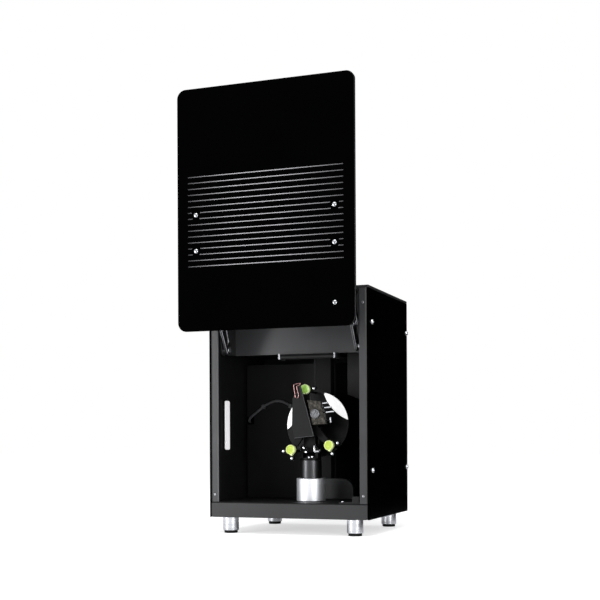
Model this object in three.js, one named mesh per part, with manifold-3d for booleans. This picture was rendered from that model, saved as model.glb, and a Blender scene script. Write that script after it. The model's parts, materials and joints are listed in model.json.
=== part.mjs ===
// A laboratory scanner: a sheet-metal cabinet on four feet, a door that lifts on parallel arms,
// and a turntable that carries a tilting model holder. Millimetres, +Z up, the door at the front, -Y.

import * as THREE from 'three';
import Module from 'manifold-3d';
import { mergeVertices } from 'three/addons/utils/BufferGeometryUtils.js';

const wasm = await Module();
wasm.setup();

// Fits
const seatGap = 0.3;
const pivotGap = 0.3;
const overrun = 3;
const roundSides = 20;
const smallSides = 10;
const wideSides = 36;
const cornerSteps = 3;

// Cabinet
const cabinetWidth = 420;
const cabinetDepth = 366;
const cabinetTop = 608;
const sidePanelThickness = 4.5;
const topPanelThickness = 6.4;
const topPanelCorner = 2;
const sheetThickness = 2;
const backCoverThickness = 3;
const baseHeight = 36;
const baseCornerChamfer = 4;
const floorFrontInset = 2;
const chamberDepth = 222;
const wallSideGap = 5.2;
const wallDrop = 25;
const wallFlange = 16;
const bayHeight = 146;

// Feet
const footHeight = 41;
const footRadius = 20;
const footChamfer = 1;
const rubberRadius = 17;
const rubberHeight = 7;
const footInsetX = 45;
const footInsetY = 30;

// Front posts and the screws in them
const postWidth = 20;
const postDepth = 18;
const postWall = 2.5;
const postChamfer = 2;
const postScrewRadius = 3.5;
const postScrewHeight = 1.5;
const postScrewInsetX = 14.5;
const postScrewLow = 98;
const postScrewDrop = 42.3;

// Side bolts
const sideBoltRadius = 6.2;
const sideBoltHeight = 4;
const sideBoltFrontY = 30;
const sideBoltRearInset = 9;
const sideBoltLow = 160.5;
const sideBoltDrop = 87;

// Upper fascia, and the bar lamp that hangs from its lip
const fasciaY = 102;
const fasciaDrop = 7.7;
const fasciaLip = 12;
const lampRadius = 6;
const lampLength = 152;
const lampY = 80;
const lampDrop = 8.9;
const lampEndWidth = 4;
const lampEndFront = 7;

// Light panel on the left wall
const lightPanelWidth = 27;
const lightPanelHeight = 127;
const lightPanelY = 89.5;
const lightPanelZ = 273.5;
const lightPanelRim = 2;
const lightHousingDepth = 3;
const lightDiffuserDepth = 3;
const lightPanelCorner = 5;

// Junction box, column and cable on the chamber's back wall
const junctionLeft = 5;
const junctionRight = 108;
const junctionDepth = 21.7;
const junctionHeight = 53.6;
const junctionCorner = 30;
const columnX = 21;
const columnWidth = 55;
const columnDepth = 8.2;
const columnChamfer = 6;
const glandLength = 6;
const glandHalfHeight = 6;
const cableRadius = 3.5;
const clipLength = 7;
const clipWall = 1.6;
const cableEndZ = 303;
const cableNotchZ = 287;
const cableNotch = 20;

// Camera housing that hangs at the right, with its lens
const cameraLeft = 94;
const cameraRight = 154;
const cameraDepth = 25.7;
const cameraLengthLeft = 110;
const cameraLengthRight = 133;
const cameraLensRadius = 12;
const cameraLensLength = 8;
const cameraLensBore = 8.5;
const cameraLensDrop = 63;
const cameraLensInset = 14;

// Lift: two pivots in each cheek plate, and two parallel arms between cabinet and door
const liftPivotY = 31;
const liftPivotRise = 2;
const liftArmLength = 250;
const liftOpenAngle = 122;
const liftSwing = 148.3;
const pivotSpacing = 58;
const pivotSpacingAngle = 106;
const liftPinRadius = 6;
const controlPinRadius = 5;
const pinHeadRim = 2;
const pinHeadThickness = 1.5;
const cheekThickness = 3;
const cheekFront = 6;
const cheekBack = 104;
const cheekPivotRadius = 14;
const cheekStepRise = 50;
const bracketClearance = 1.2;
const bracketThickness = 2.5;
const controlArmThickness = 4;
const controlArmHalfWidth = 7;
const liftArmThickness = 6;
const liftArmWeb = 3;
const liftArmRim = 3;
const liftArmEyeRadius = 13;
const liftArmDoorBulge = 20;
const liftArmOuterBulge = 16;
const armGap = 1.2;
const armPlaneGap = 2.3;
const armHoleRadius = 5.5;
const armHolePitch = 32;
const armHoles = 5;

// Door
const doorOverhang = 13;
const doorRise = 8;
const doorCorner = 22;
const doorPanelThickness = 6;
const doorThickness = 12;
const doorClosedGap = 3.5;
const doorClosedBottom = 34;
const backingInset = 5;
const backingRim = 12;
const backingSheet = 2;
const backingBoss = 10;
const stripeCount = 16;
const stripeWidth = 3;
const stripeDepth = 0.6;
const stripeInset = 27.5;
const stripeLowest = 155.3;
const stripePitch = 14.28;
const stripeBreakRadius = 12;
const boltInset = 9.8;
const boltLow = 191.8;
const boltHigh = 277.8;
const boltHeadRadius = 6;
const boltHeadHeight = 4;
const boltShankRadius = 3;
const boltNutRadius = 5;
const boltNutHeight = 5;
const bracketFlangeWidth = 24;
const bracketFlangeThickness = 3;
const bracketFoot = 22;
const bracketPivotRadius = 12;

// Catch: a striker on the door meets a plate on the chamber floor
const catchBoltZ = 53.7;
const strikerWidth = 17;
const strikerThickness = 2.5;
const catchPlateLength = 52;
const catchPlateDepth = 12;
const catchPlateHeight = 4;
const catchTabThickness = 4;
const catchTabHeight = 18;

// Turntable
const turntableX = 25;
const turntableY = 104;
const turntableRadius = 36.5;
const turntableShare = 0.5576;
const turntableChamfer = 1;
const spindleRadius = 27.25;
const spindleChamfer = 0.8;
const stemRadius = 8;
const stemInset = 6.1;
const motorSize = 42;
const motorHeight = 28;
const motorCorner = 4;

// Tilt fork and head
const forkBaseRadius = 26;
const forkBaseHeight = 6;
const forkGapHalf = 16.5;
const forkEarThickness = 7;
const forkEarRadius = 13;
const forkRise = 26.8;
const tiltPinRadius = 5;
const tiltPinHeadRadius = 7.5;
const tiltPinHeadLength = 3.5;
const headSideGap = 0.7;
const headPivotRadius = 14;
const headHalfDepth = 10;
const headTopMargin = 15;

// Model holder, in a frame of its own: its axis along Y, leaning back and rolled a little
const holderShare = 0.52025;
const tiltDrop = 68.4;
const holderLean = -4;
const holderRoll = -6;
const holderShift = 2.5;
const shaftRadius = 9;
const spiderFront = -23.7;
const spiderThickness = 8;
const spiderHubRadius = 20;
const spiderArmRoot = 10;
const spiderArmTip = 7;
const stationRadius = 83;
const stationAngles = [90, 232, 308];
const stationBoss = 13;
const screwOffset = 22;
const screwAngles = [[0, 184], [184, 267], [284, 10]];
const screwEarRadius = 5.4;
const screwHeadRadius = 3.4;
const screwHeadHeight = 4;
const rimArmStart = 56;
const rimArmEnd = 90;
const rimArmWidth = 8;
const discRadius = 85;
const discFront = 44.3;
const discThickness = 6;
const postRadius = 4;
const postEnd = -30.3;
const lensRim = 1.5;
const lensStart = 1;
const lensEnd = 74;
const leftLensLead = 4.5;
const lensInnerReach = 56;
const lensThickness = 1.2;
const knobRadius = 12.4;
const knobNose = 17;
const knobNoseAngle = -85;
const knobNoseSpread = 24;
const knobLength = 10;
const knobBoreDepth = 7;

// Tapered plate, hub block and hairpin at the holder's front
const plateFront = -47;
const plateThickness = 5;
const plateLeft = -34.3;
const plateRight = 18.5;
const plateBottom = -39.5;
const plateTop = 91;
const plateShoulderX = -30.3;
const plateShoulderZ = 61.8;
const plateWaistX = -38;
const plateWaistZ = -13;
const plateHeelZ = -26;
const plateTipLeft = -11.5;
const plateTipRight = -6;
const plateStandHalf = 11;
const plateStandX = -19;
const hubBlockX = 28;
const hubBlockZ = 21.3;
const hubBlockWidth = 44.5;
const hubBlockHeight = 66.3;
const hubBlockDepth = 16;
const hubRadius = 12.4;
const hubHeight = 3;
const hubSlotWidth = 3;
const hubSlotLean = 52;
const hubCornerShares = [[-0.5, 0.5], [-0.322, -0.486], [0.5, -0.5], [0.289, 0.39]];
const hubShares = [-0.07, -0.074];
const barRootShare = 0.247;
const barReachShares = [0.699, 0.888, 1.04];
const barOffsetShares = [0.297, 0.122, -0.057];
const barHeight = 3;
const barDepth = 6;
const tabReachShare = 0.815;
const tabOffsetShare = -0.37;
const tabLength = 11.8;
const tabWidth = 4;
const wireRadius = 1.5;
const wireLeft = -22.3;
const wireRight = -12.3;
const wireBottom = 62;
const wireTop = 91;
const wireSides = 6;
const wireSteps = 20;

// Optics above the shelf
const windowHalfWidth = 65;
const windowFront = 125;
const windowBackInset = 15;
const projectorWidth = 100;
const projectorDepthShare = 0.68;
const projectorHeightShare = 0.51;
const projectorInset = 9;
const barrelShares = [0.23, 0.17, 0.43, 0.57];
const barrelTilt = 56;

// Electronics behind the chamber
const boardWidth = 200;
const boardHeight = 180;
const boardThickness = 1.6;
const boardInset = 45.2;
const boardDrop = 10;
const boardStandoff = 12;
const standoffRadius = 4;
const standoffInset = 10;
const chipShares = [[-0.3, 0.222, 0.2, 0.222, 1], [0.05, 0.167, 0.12, 0.333, 1.5], [0.2, -0.278, 0.3, 0.133, 0.75]];
const supplyWidth = 120;
const supplyDepthShare = 0.73;
const supplyHeight = 55;
const supplyInset = 25.2;

// Back cover with its vents, the power inlet and the rocker in it
const ventWidth = 5;
const ventHeight = 44;
const ventPitch = 14;
const ventCount = 10;
const ventDrop = 61;
const ventLowZ = 237;
const inletInset = 75.2;
const inletZ = 137;
const inletWidth = 44;
const inletHeight = 62;
const inletFlange = 5;
const inletFlangeThickness = 2;
const inletRim = 2.5;
const inletDepth = 24;
const socketWidth = 27;
const socketHeight = 20;
const socketDepth = 16;
const socketRise = 14;
const contactWidth = 2;
const contactHeight = 6;
const contactPitch = 8;
const contactLength = 12;
const rockerWidth = 21;
const rockerHeight = 13.6;
const rockerPocketGap = 1.7;
const rockerSideGap = 0.5;
const rockerBody = 4;
const rockerCrown = 2.2;
const rockerDip = 1.2;
const rockerTilt = -8;
const rockerDrop = 16;
const rockerPinRadius = 1.5;
const rockerPinReach = 2;

// Places that follow from the sizes above
const panelInside = cabinetWidth / 2 - sidePanelThickness;
const frameHalf = panelInside - seatGap;
const baseTop = footHeight + baseHeight;
const floorTop = baseTop + seatGap + sheetThickness;
const onFloor = floorTop + seatGap;
const topUnder = cabinetTop - topPanelThickness;
const frameTop = topUnder - seatGap;
const backInside = cabinetDepth - backCoverThickness - seatGap;
const postInner = frameHalf + seatGap - postWidth;
const onWall = chamberDepth - seatGap;
const shelfHeight = cabinetTop - bayHeight;
const wallTop = shelfHeight - wallDrop;
const fasciaBottom = shelfHeight - fasciaDrop;
const lampZ = fasciaBottom - lampDrop;
const windowBack = chamberDepth - windowBackInset;
const bayFront = chamberDepth + sheetThickness + wallFlange;
const doorWidth = cabinetWidth + 2 * doorOverhang;
const doorHeight = cabinetTop + doorRise - doorClosedBottom;
const boardX = boardInset + boardWidth / 2 - frameHalf;
const boardZ = wallTop - boardDrop - boardHeight / 2;
const supplyX = supplyInset + supplyWidth / 2 - frameHalf;
const inletX = frameHalf - inletInset;
const holderHeight = floorTop + (shelfHeight - floorTop) * holderShare;
const tiltHeight = holderHeight - tiltDrop;
const spindleTop = tiltHeight - forkRise;
const turntableHeight = (spindleTop - seatGap - onFloor) * turntableShare;
const rad = THREE.MathUtils.degToRad;

// Shapes

function box(xa, xb, ya, yb, za, zb) {
  const size = [Math.abs(xb - xa), Math.abs(yb - ya), Math.abs(zb - za)];
  return new THREE.BoxGeometry(...size).translate((xa + xb) / 2, (ya + yb) / 2, (za + zb) / 2);
}

function rodZ(radius, za, zb, x = 0, y = 0, sides = roundSides) {
  const rod = new THREE.CylinderGeometry(radius, radius, Math.abs(zb - za), sides);
  return rod.rotateX(Math.PI / 2).translate(x, y, (za + zb) / 2);
}

function rodY(radius, ya, yb, x, z, sides = roundSides) {
  return new THREE.CylinderGeometry(radius, radius, Math.abs(yb - ya), sides).translate(x, (ya + yb) / 2, z);
}

function rodX(radius, xa, xb, y, z, sides = roundSides) {
  const rod = new THREE.CylinderGeometry(radius, radius, Math.abs(xb - xa), sides);
  return rod.rotateZ(Math.PI / 2).translate((xa + xb) / 2, y, z);
}

function extruded(shape, depth, curveSegments = cornerSteps) {
  return new THREE.ExtrudeGeometry(shape, { depth, bevelEnabled: false, curveSegments });
}

// An outline drawn in x and y, between two heights.
function sheetZ(shape, za, zb) {
  return extruded(shape, Math.abs(zb - za)).translate(0, 0, Math.min(za, zb));
}

// An outline drawn in x and z, between two places along y.
function sheetY(shape, ya, yb, steps = cornerSteps) {
  return extruded(shape, Math.abs(yb - ya), steps).rotateX(Math.PI / 2).translate(0, Math.max(ya, yb), 0);
}

// An outline drawn in y and z, between two places along x.
function sheetX(shape, xa, xb) {
  const cycle = new THREE.Matrix4().makeBasis(
    new THREE.Vector3(0, 1, 0), new THREE.Vector3(0, 0, 1), new THREE.Vector3(1, 0, 0));
  return extruded(shape, Math.abs(xb - xa)).applyMatrix4(cycle).translate(Math.min(xa, xb), 0, 0);
}

function polygon(points) {
  return new THREE.Shape(points.map(([a, b]) => new THREE.Vector2(a, b)));
}

function roundedRectangle(left, right, bottom, top, radius) {
  const shape = new THREE.Shape();
  shape.absarc(right - radius, bottom + radius, radius, -Math.PI / 2, 0, false);
  shape.absarc(right - radius, top - radius, radius, 0, Math.PI / 2, false);
  shape.absarc(left + radius, top - radius, radius, Math.PI / 2, Math.PI, false);
  shape.absarc(left + radius, bottom + radius, radius, Math.PI, 1.5 * Math.PI, false);
  shape.closePath();
  return shape;
}

// A profile of radius and height pairs, turned about Z.
function turned(profile, sides = roundSides) {
  const points = [...profile, profile[0]].map(([r, z]) => new THREE.Vector2(r, z));
  return new THREE.LatheGeometry(points, sides).rotateX(Math.PI / 2);
}

// Solids

function solid(shape) {
  if (shape instanceof wasm.Manifold) return shape;
  const plain = shape.clone();
  plain.deleteAttribute('normal');
  plain.deleteAttribute('uv');
  const merged = mergeVertices(plain);
  const corners = merged.index.array;
  const kept = [];
  for (let i = 0; i < corners.length; i += 3) {
    const [a, b, c] = [corners[i], corners[i + 1], corners[i + 2]];
    if (a !== b && b !== c && c !== a) kept.push(a, b, c);
  }
  return new wasm.Manifold(new wasm.Mesh({
    numProp: 3,
    vertProperties: Float32Array.from(merged.attributes.position.array),
    triVerts: Uint32Array.from(kept),
  }));
}

function join(first, ...others) {
  return others.reduce((whole, other) => whole.add(solid(other)), solid(first));
}

function cut(first, ...tools) {
  return tools.reduce((rest, tool) => rest.subtract(solid(tool)), solid(first));
}

function geometryOf(body) {
  const mesh = solid(body).getMesh();
  const points = new Float32Array(mesh.numVert * 3);
  for (let i = 0; i < mesh.numVert; i += 1) {
    for (let k = 0; k < 3; k += 1) points[3 * i + k] = mesh.vertProperties[mesh.numProp * i + k];
  }
  const geometry = new THREE.BufferGeometry();
  geometry.setAttribute('position', new THREE.BufferAttribute(points, 3));
  geometry.setIndex(Array.from(mesh.triVerts));
  geometry.computeVertexNormals();
  return geometry;
}

function piece(parent, name, body, finish) {
  const [color, roughness, metalness] = finish;
  const material = new THREE.MeshStandardMaterial({ color, roughness, metalness });
  const mesh = new THREE.Mesh(geometryOf(body), material);
  mesh.name = name;
  parent.add(mesh);
}

// Finishes: colour, roughness, metalness
const glossBlack = [0x060608, 0.08, 0];
const satinGrey = [0x4a4c50, 0.45, 0.6];
const matteBlack = [0x141416, 0.7, 0.1];
const darkSheet = [0x1d1d22, 0.6, 0.2];
const brightSteel = [0xcfd2d6, 0.25, 0.95];
const darkSteel = [0x303338, 0.4, 0.8];
const diffuserWhite = [0xf4f2f4, 0.4, 0];
const limeGreen = [0xb4dc46, 0.4, 0];
const copper = [0xc88a78, 0.35, 0.9];
const bronzeGrey = [0x5c564c, 0.5, 0.7];
const cableGrey = [0x55565c, 0.5, 0];
const boardGreen = [0x1f4a33, 0.6, 0];

const sides = { left: -1, right: 1 };
const machine = new THREE.Group();
const cabinet = new THREE.Group();
const lift = new THREE.Group();
const door = new THREE.Group();
const turntable = new THREE.Group();
const holder = new THREE.Group();

// Cabinet shell

function basePan() {
  const back = backInside;
  const edge = baseCornerChamfer;
  const outline = polygon([
    [-frameHalf + edge, footHeight], [frameHalf - edge, footHeight], [frameHalf, footHeight + edge],
    [frameHalf, baseTop], [-frameHalf, baseTop], [-frameHalf, footHeight + edge],
  ]);
  const hollow = box(-frameHalf + edge, frameHalf - edge, sheetThickness, back - sheetThickness,
    footHeight - overrun, baseTop - sheetThickness);
  const shaftHole = rodZ(stemRadius + seatGap, baseTop - sheetThickness - overrun, baseTop + overrun,
    turntableX, turntableY);
  return cut(sheetY(outline, 0, back), hollow, shaftHole);
}

function bottomCover() {
  const half = frameHalf - baseCornerChamfer - seatGap;
  const front = sheetThickness + seatGap;
  const back = backInside - sheetThickness - seatGap;
  let cover = solid(box(-half, half, front, back, footHeight, footHeight + sheetThickness));
  for (const bank of [-1, 1]) {
    for (let i = 0; i < ventCount; i += 1) {
      const x = bank * half / 2 + (i - (ventCount - 1) / 2) * ventPitch;
      const middle = (front + back) / 2;
      cover = cut(cover, box(x - ventWidth / 2, x + ventWidth / 2, middle - ventHeight / 2,
        middle + ventHeight / 2, footHeight - overrun, footHeight + sheetThickness + overrun));
    }
  }
  return cover;
}

function chamberFloor() {
  const plate = box(-frameHalf, frameHalf, floorFrontInset, chamberDepth + sheetThickness + wallFlange,
    baseTop + seatGap, floorTop);
  const shaftHole = rodZ(stemRadius + seatGap, baseTop - overrun, floorTop + overrun, turntableX, turntableY);
  return cut(plate, shaftHole);
}

function sidePanel(side) {
  const outer = side * cabinetWidth / 2;
  const panel = box(side * panelInside, outer, 0, cabinetDepth, footHeight, frameTop);
  const bolts = [];
  for (const y of [sideBoltFrontY, cabinetDepth - sideBoltRearInset]) {
    for (const z of [sideBoltLow, cabinetTop - sideBoltDrop]) {
      bolts.push(rodX(sideBoltRadius, side * (panelInside + sidePanelThickness / 2),
        outer + side * sideBoltHeight, y, z, smallSides));
    }
  }
  return join(panel, ...bolts);
}

function topPanel() {
  const half = cabinetWidth / 2;
  return sheetZ(roundedRectangle(-half, half, 0, cabinetDepth, topPanelCorner), topUnder, cabinetTop);
}

function frontPost(side) {
  const outer = side * frameHalf;
  const inner = side * postInner;
  const turn = side * postChamfer;
  const wall = side * postWall;
  const outline = polygon([
    [inner, postChamfer], [inner + turn, 0], [outer - turn, 0], [outer, postChamfer],
    [outer, postDepth], [outer - wall, postDepth], [outer - wall, postWall],
    [inner + wall, postWall], [inner + wall, postDepth], [inner, postDepth],
  ]);
  const screwX = side * (cabinetWidth / 2 - postScrewInsetX);
  const screws = [postScrewLow, cabinetTop - postScrewDrop].map((z) =>
    rodY(postScrewRadius, -postScrewHeight, postWall / 2, screwX, z, smallSides));
  return join(sheetZ(outline, onFloor, frameTop), ...screws);
}

function vents(z) {
  return Array.from({ length: ventCount }, (_, i) => {
    const x = (i - (ventCount - 1) / 2) * ventPitch;
    return box(x - ventWidth / 2, x + ventWidth / 2, backInside - overrun, cabinetDepth + overrun,
      z - ventHeight / 2, z + ventHeight / 2);
  });
}

function backCover() {
  const plate = box(-frameHalf, frameHalf, backInside + seatGap, cabinetDepth, footHeight, frameTop);
  const opening = box(inletX - inletWidth / 2 - seatGap, inletX + inletWidth / 2 + seatGap,
    backInside - overrun, cabinetDepth + overrun,
    inletZ - inletHeight / 2 - seatGap, inletZ + inletHeight / 2 + seatGap);
  return cut(plate, opening, ...vents(cabinetTop - ventDrop), ...vents(ventLowZ));
}

function foot() {
  const top = footHeight - seatGap;
  return turned([
    [0, 0], [rubberRadius, 0], [rubberRadius, rubberHeight], [footRadius - footChamfer, rubberHeight],
    [footRadius, rubberHeight + footChamfer], [footRadius, top - footChamfer],
    [footRadius - footChamfer, top], [0, top],
  ]);
}

// Chamber: the route of the cable on its back wall, then the wall with the clips that hold it.

const wallHalf = frameHalf - wallSideGap;
const cableY = onWall - cableRadius;
const columnLeft = columnX - columnWidth / 2;
const cableEndX = columnLeft - glandLength - seatGap;
const cableX = (share) => -wallHalf + (cableEndX + wallHalf) * share;
const cableRoute = [
  [cableX(0.016), chamberDepth + wallFlange, 283], [cableX(0.022), chamberDepth + sheetThickness + cableRadius, 286],
  [cableX(0.065), cableY, 295], [cableX(0.185), cableY, 313], [cableX(0.326), cableY, 331],
  [cableX(0.456), cableY, 339], [cableX(0.586), cableY, 335], [cableX(0.706), cableY, 322],
  [cableX(0.814), cableY, 309], [cableEndX - 4 * cableRadius, cableY, cableEndZ], [cableEndX, cableY, cableEndZ],
].map(([x, y, z]) => new THREE.Vector3(x, y, z));
const cableCurve = new THREE.CatmullRomCurve3(cableRoute);
const cableSteps = 26;
const cableSides = 8;
const clipShares = [0.36, 0.68];

function circleShape(radius, count) {
  return polygon(Array.from({ length: count }, (_, i) => {
    const angle = 2 * Math.PI * i / count;
    return [radius * Math.cos(angle), radius * Math.sin(angle)];
  }));
}

function tube(curve, radius, count, steps) {
  return new THREE.ExtrudeGeometry(circleShape(radius, count), { steps, extrudePath: curve, curveSegments: 1 });
}

// A saddle over the cable, square to it, with its foot in the wall.
function cableClip(share) {
  const at = cableCurve.getPoint(share);
  const along = cableCurve.getTangent(share);
  const slope = Math.atan2(along.z, along.x);
  const reach = cableRadius + seatGap + clipWall;
  const front = -reach;
  const back = chamberDepth + sheetThickness / 2 - cableY;
  const saddle = box(-clipLength / 2, clipLength / 2, front, back, -reach, reach);
  const passage = rodX(cableRadius + seatGap, -clipLength, clipLength, 0, 0, smallSides);
  return [saddle, passage].map((shape) => shape.rotateY(-slope).translate(at.x, at.y, at.z));
}

function chamberBack() {
  const back = chamberDepth + sheetThickness;
  const flanges = [-1, 1].map((side) => box(side * wallHalf, side * (wallHalf - sheetThickness),
    chamberDepth, back + wallFlange, onFloor, wallTop));
  let wall = join(box(-wallHalf, wallHalf, chamberDepth, back, onFloor, wallTop), ...flanges);
  const notch = box(-wallHalf - overrun, -wallHalf + cableNotch, chamberDepth - overrun,
    back + wallFlange + overrun, cableNotchZ - cableNotch / 2, cableNotchZ + cableNotch / 2);
  wall = cut(wall, notch);
  for (const share of clipShares) {
    const [saddle, passage] = cableClip(share);
    wall = join(wall, cut(saddle, passage));
  }
  return wall;
}

function junctionBox() {
  const front = onWall - junctionDepth;
  const top = onFloor + junctionHeight;
  const outline = new THREE.Shape();
  outline.moveTo(junctionLeft, onFloor);
  outline.lineTo(junctionRight, onFloor);
  outline.lineTo(junctionRight, top - junctionCorner);
  outline.absarc(junctionRight - junctionCorner, top - junctionCorner, junctionCorner, 0, Math.PI / 2, false);
  outline.lineTo(junctionLeft, top);
  outline.closePath();
  return sheetY(outline, front, onWall);
}

function cableColumn() {
  const front = onWall - columnDepth;
  const right = columnLeft + columnWidth;
  const outline = polygon([
    [columnLeft, onWall], [columnLeft, front + columnChamfer], [columnLeft + columnChamfer, front],
    [right - columnChamfer, front], [right, front + columnChamfer], [right, onWall],
  ]);
  const bottom = onFloor + junctionHeight + seatGap;
  const gland = box(columnLeft - glandLength, columnLeft + columnChamfer, cableY - cableRadius, onWall,
    cableEndZ - glandHalfHeight, cableEndZ + glandHalfHeight);
  return join(sheetZ(outline, bottom, shelfHeight - seatGap), gland);
}

function cameraHousing() {
  const front = onWall - cameraDepth;
  const top = shelfHeight - seatGap;
  const body = sheetY(polygon([
    [cameraLeft, shelfHeight - cameraLengthLeft], [cameraRight, shelfHeight - cameraLengthRight],
    [cameraRight, top], [cameraLeft, top],
  ]), front, onWall);
  const middle = cameraRight - cameraLensInset;
  const lensZ = shelfHeight - cameraLensDrop;
  const ring = rodY(cameraLensRadius, front - cameraLensLength, front + overrun, middle, lensZ);
  const bore = rodY(cameraLensBore, front - cameraLensLength - overrun, front, middle, lensZ);
  return cut(join(body, ring), bore);
}

function opticsShelf() {
  const plate = box(-frameHalf, frameHalf, fasciaY + sheetThickness + seatGap, backInside,
    shelfHeight, shelfHeight + sheetThickness);
  const window = box(turntableX - windowHalfWidth, turntableX + windowHalfWidth, windowFront, windowBack,
    shelfHeight - overrun, shelfHeight + sheetThickness + overrun);
  return cut(plate, window);
}

function upperFascia() {
  const half = postInner - seatGap - cheekThickness - seatGap;
  const back = fasciaY + sheetThickness;
  const plate = box(-half, half, fasciaY, back, fasciaBottom, frameTop);
  const lip = box(-half, half, fasciaY, fasciaY + fasciaLip, fasciaBottom, fasciaBottom + sheetThickness);
  return join(plate, lip);
}

function barLamp() {
  const half = lampLength / 2;
  const ends = [-1, 1].map((side) => box(turntableX + side * (half - lampEndWidth), turntableX + side * half,
    lampY - lampEndFront, fasciaY + fasciaLip, lampZ - lampRadius, fasciaBottom - seatGap));
  const bar = rodX(lampRadius, turntableX - half + lampEndWidth / 2, turntableX + half - lampEndWidth / 2,
    lampY, lampZ);
  return join(bar, ...ends);
}

function lightPanelOutline(rim) {
  const halfWidth = lightPanelWidth / 2 + rim;
  const halfHeight = lightPanelHeight / 2 + rim;
  return roundedRectangle(lightPanelY - halfWidth, lightPanelY + halfWidth,
    lightPanelZ - halfHeight, lightPanelZ + halfHeight, lightPanelCorner + rim);
}

function lightHousing() {
  return sheetX(lightPanelOutline(lightPanelRim), -frameHalf, -frameHalf + lightHousingDepth);
}

function lightDiffuser() {
  const back = -frameHalf + lightHousingDepth + seatGap;
  return sheetX(lightPanelOutline(0), back, back + lightDiffuserDepth);
}

// Lift

const degreesOf = (angle) => [Math.cos(rad(angle)), Math.sin(rad(angle))];
const [spacingY, spacingZ] = degreesOf(pivotSpacingAngle).map((share) => share * pivotSpacing);
const [openY, openZ] = degreesOf(liftOpenAngle).map((share) => share * liftArmLength);
const [closedY, closedZ] = degreesOf(liftOpenAngle + liftSwing).map((share) => share * liftArmLength);
const liftPivot = [liftPivotY, shelfHeight + liftPivotRise];
const controlPivot = [liftPivot[0] + spacingY, liftPivot[1] + spacingZ];
const doorPivot = [liftPivot[0] + openY, liftPivot[1] + openZ];
const doorControlPivot = [doorPivot[0] + spacingY, doorPivot[1] + spacingZ];
const cheekOuter = postInner - seatGap;
const cheekInner = cheekOuter - cheekThickness;
const bracketOuter = postInner - bracketClearance;
const bracketInner = bracketOuter - bracketThickness;
const controlOuter = bracketInner - armGap;
const controlInner = controlOuter - controlArmThickness;
const liftOuter = controlInner - armPlaneGap;
const liftInner = liftOuter - liftArmThickness;

// A headed stud that reaches inwards from a plate through an arm.
function stud(side, radius, plateInner, armInner, [y, z]) {
  const headStart = armInner - seatGap;
  return join(
    rodX(radius, side * (plateInner + overrun / 3), side * headStart, y, z),
    rodX(radius + pinHeadRim, side * (headStart + seatGap / 3), side * (headStart - pinHeadThickness), y, z));
}

function cheekPlate(side) {
  const [y, z] = liftPivot;
  const shape = new THREE.Shape();
  shape.moveTo(cheekFront, frameTop);
  shape.lineTo(cheekFront, shelfHeight + cheekStepRise);
  shape.lineTo(y - cheekPivotRadius, z);
  shape.absarc(y, z, cheekPivotRadius, Math.PI, 1.75 * Math.PI, false);
  shape.lineTo(cheekBack, fasciaBottom);
  shape.lineTo(cheekBack, frameTop);
  shape.closePath();
  return join(sheetX(shape, side * cheekInner, side * cheekOuter),
    stud(side, liftPinRadius, cheekInner, liftInner, liftPivot),
    stud(side, controlPinRadius, cheekInner, controlInner, controlPivot));
}

// A long flat bar with round eyes and bulging edges, drawn from the origin along +x.
function leafOutline(length, eye, bulgeAbove, bulgeBelow) {
  const shape = new THREE.Shape();
  shape.absarc(0, 0, eye, Math.PI / 2, 1.5 * Math.PI, false);
  shape.quadraticCurveTo(length / 2, eye - 2 * bulgeBelow, length, -eye);
  shape.absarc(length, 0, eye, -Math.PI / 2, Math.PI / 2, false);
  shape.quadraticCurveTo(length / 2, 2 * bulgeAbove - eye, 0, eye);
  return shape;
}

// Turns a shape drawn along +x into an arm from a pivot, at an angle from +Y towards +Z.
function asArm(geometry, [y, z], angle, inner) {
  const place = new THREE.Matrix4().makeBasis(
    new THREE.Vector3(0, ...degreesOf(angle)), new THREE.Vector3(0, ...degreesOf(angle + 90)),
    new THREE.Vector3(1, 0, 0)).setPosition(inner, y, z);
  return geometry.applyMatrix4(place);
}

function armBody(outline, thickness, radius, pivot, inner) {
  const bar = asArm(extruded(outline, thickness), pivot, liftOpenAngle, inner);
  const holes = [0, liftArmLength].map((at) => asArm(
    rodZ(radius + pivotGap, -overrun, thickness + overrun, at), pivot, liftOpenAngle, inner));
  return cut(bar, ...holes);
}

function liftArm(side) {
  const inner = side > 0 ? liftInner : -liftOuter;
  const outline = leafOutline(liftArmLength, liftArmEyeRadius, liftArmOuterBulge, liftArmDoorBulge);
  const arm = armBody(outline, liftArmThickness, liftPinRadius, liftPivot, inner);
  const sunk = leafOutline(liftArmLength - 4 * liftArmEyeRadius,
    liftArmEyeRadius - liftArmRim, liftArmOuterBulge - liftArmRim, liftArmDoorBulge - liftArmRim);
  const recessDepth = (liftArmThickness - liftArmWeb) / 2;
  const tools = [];
  for (const base of [-overrun, liftArmThickness - recessDepth]) {
    const recess = extruded(sunk, recessDepth + overrun).translate(2 * liftArmEyeRadius, 0, base);
    tools.push(asArm(recess, liftPivot, liftOpenAngle, inner));
  }
  const holes = Array.from({ length: armHoles }, (_, i) => {
    const along = liftArmLength / 2 + (i - (armHoles - 1) / 2) * armHolePitch;
    return asArm(rodZ(armHoleRadius, -overrun, liftArmThickness + overrun, along, 0, smallSides),
      liftPivot, liftOpenAngle, inner);
  });
  return cut(arm, ...tools, ...holes);
}

function controlArm(side) {
  const inner = side > 0 ? controlInner : -controlOuter;
  const half = controlArmHalfWidth;
  const outline = leafOutline(liftArmLength, half + liftArmRim / 2, half, half);
  return armBody(outline, controlArmThickness, controlPinRadius, controlPivot, inner);
}

// Door, at rest in its open place

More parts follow.
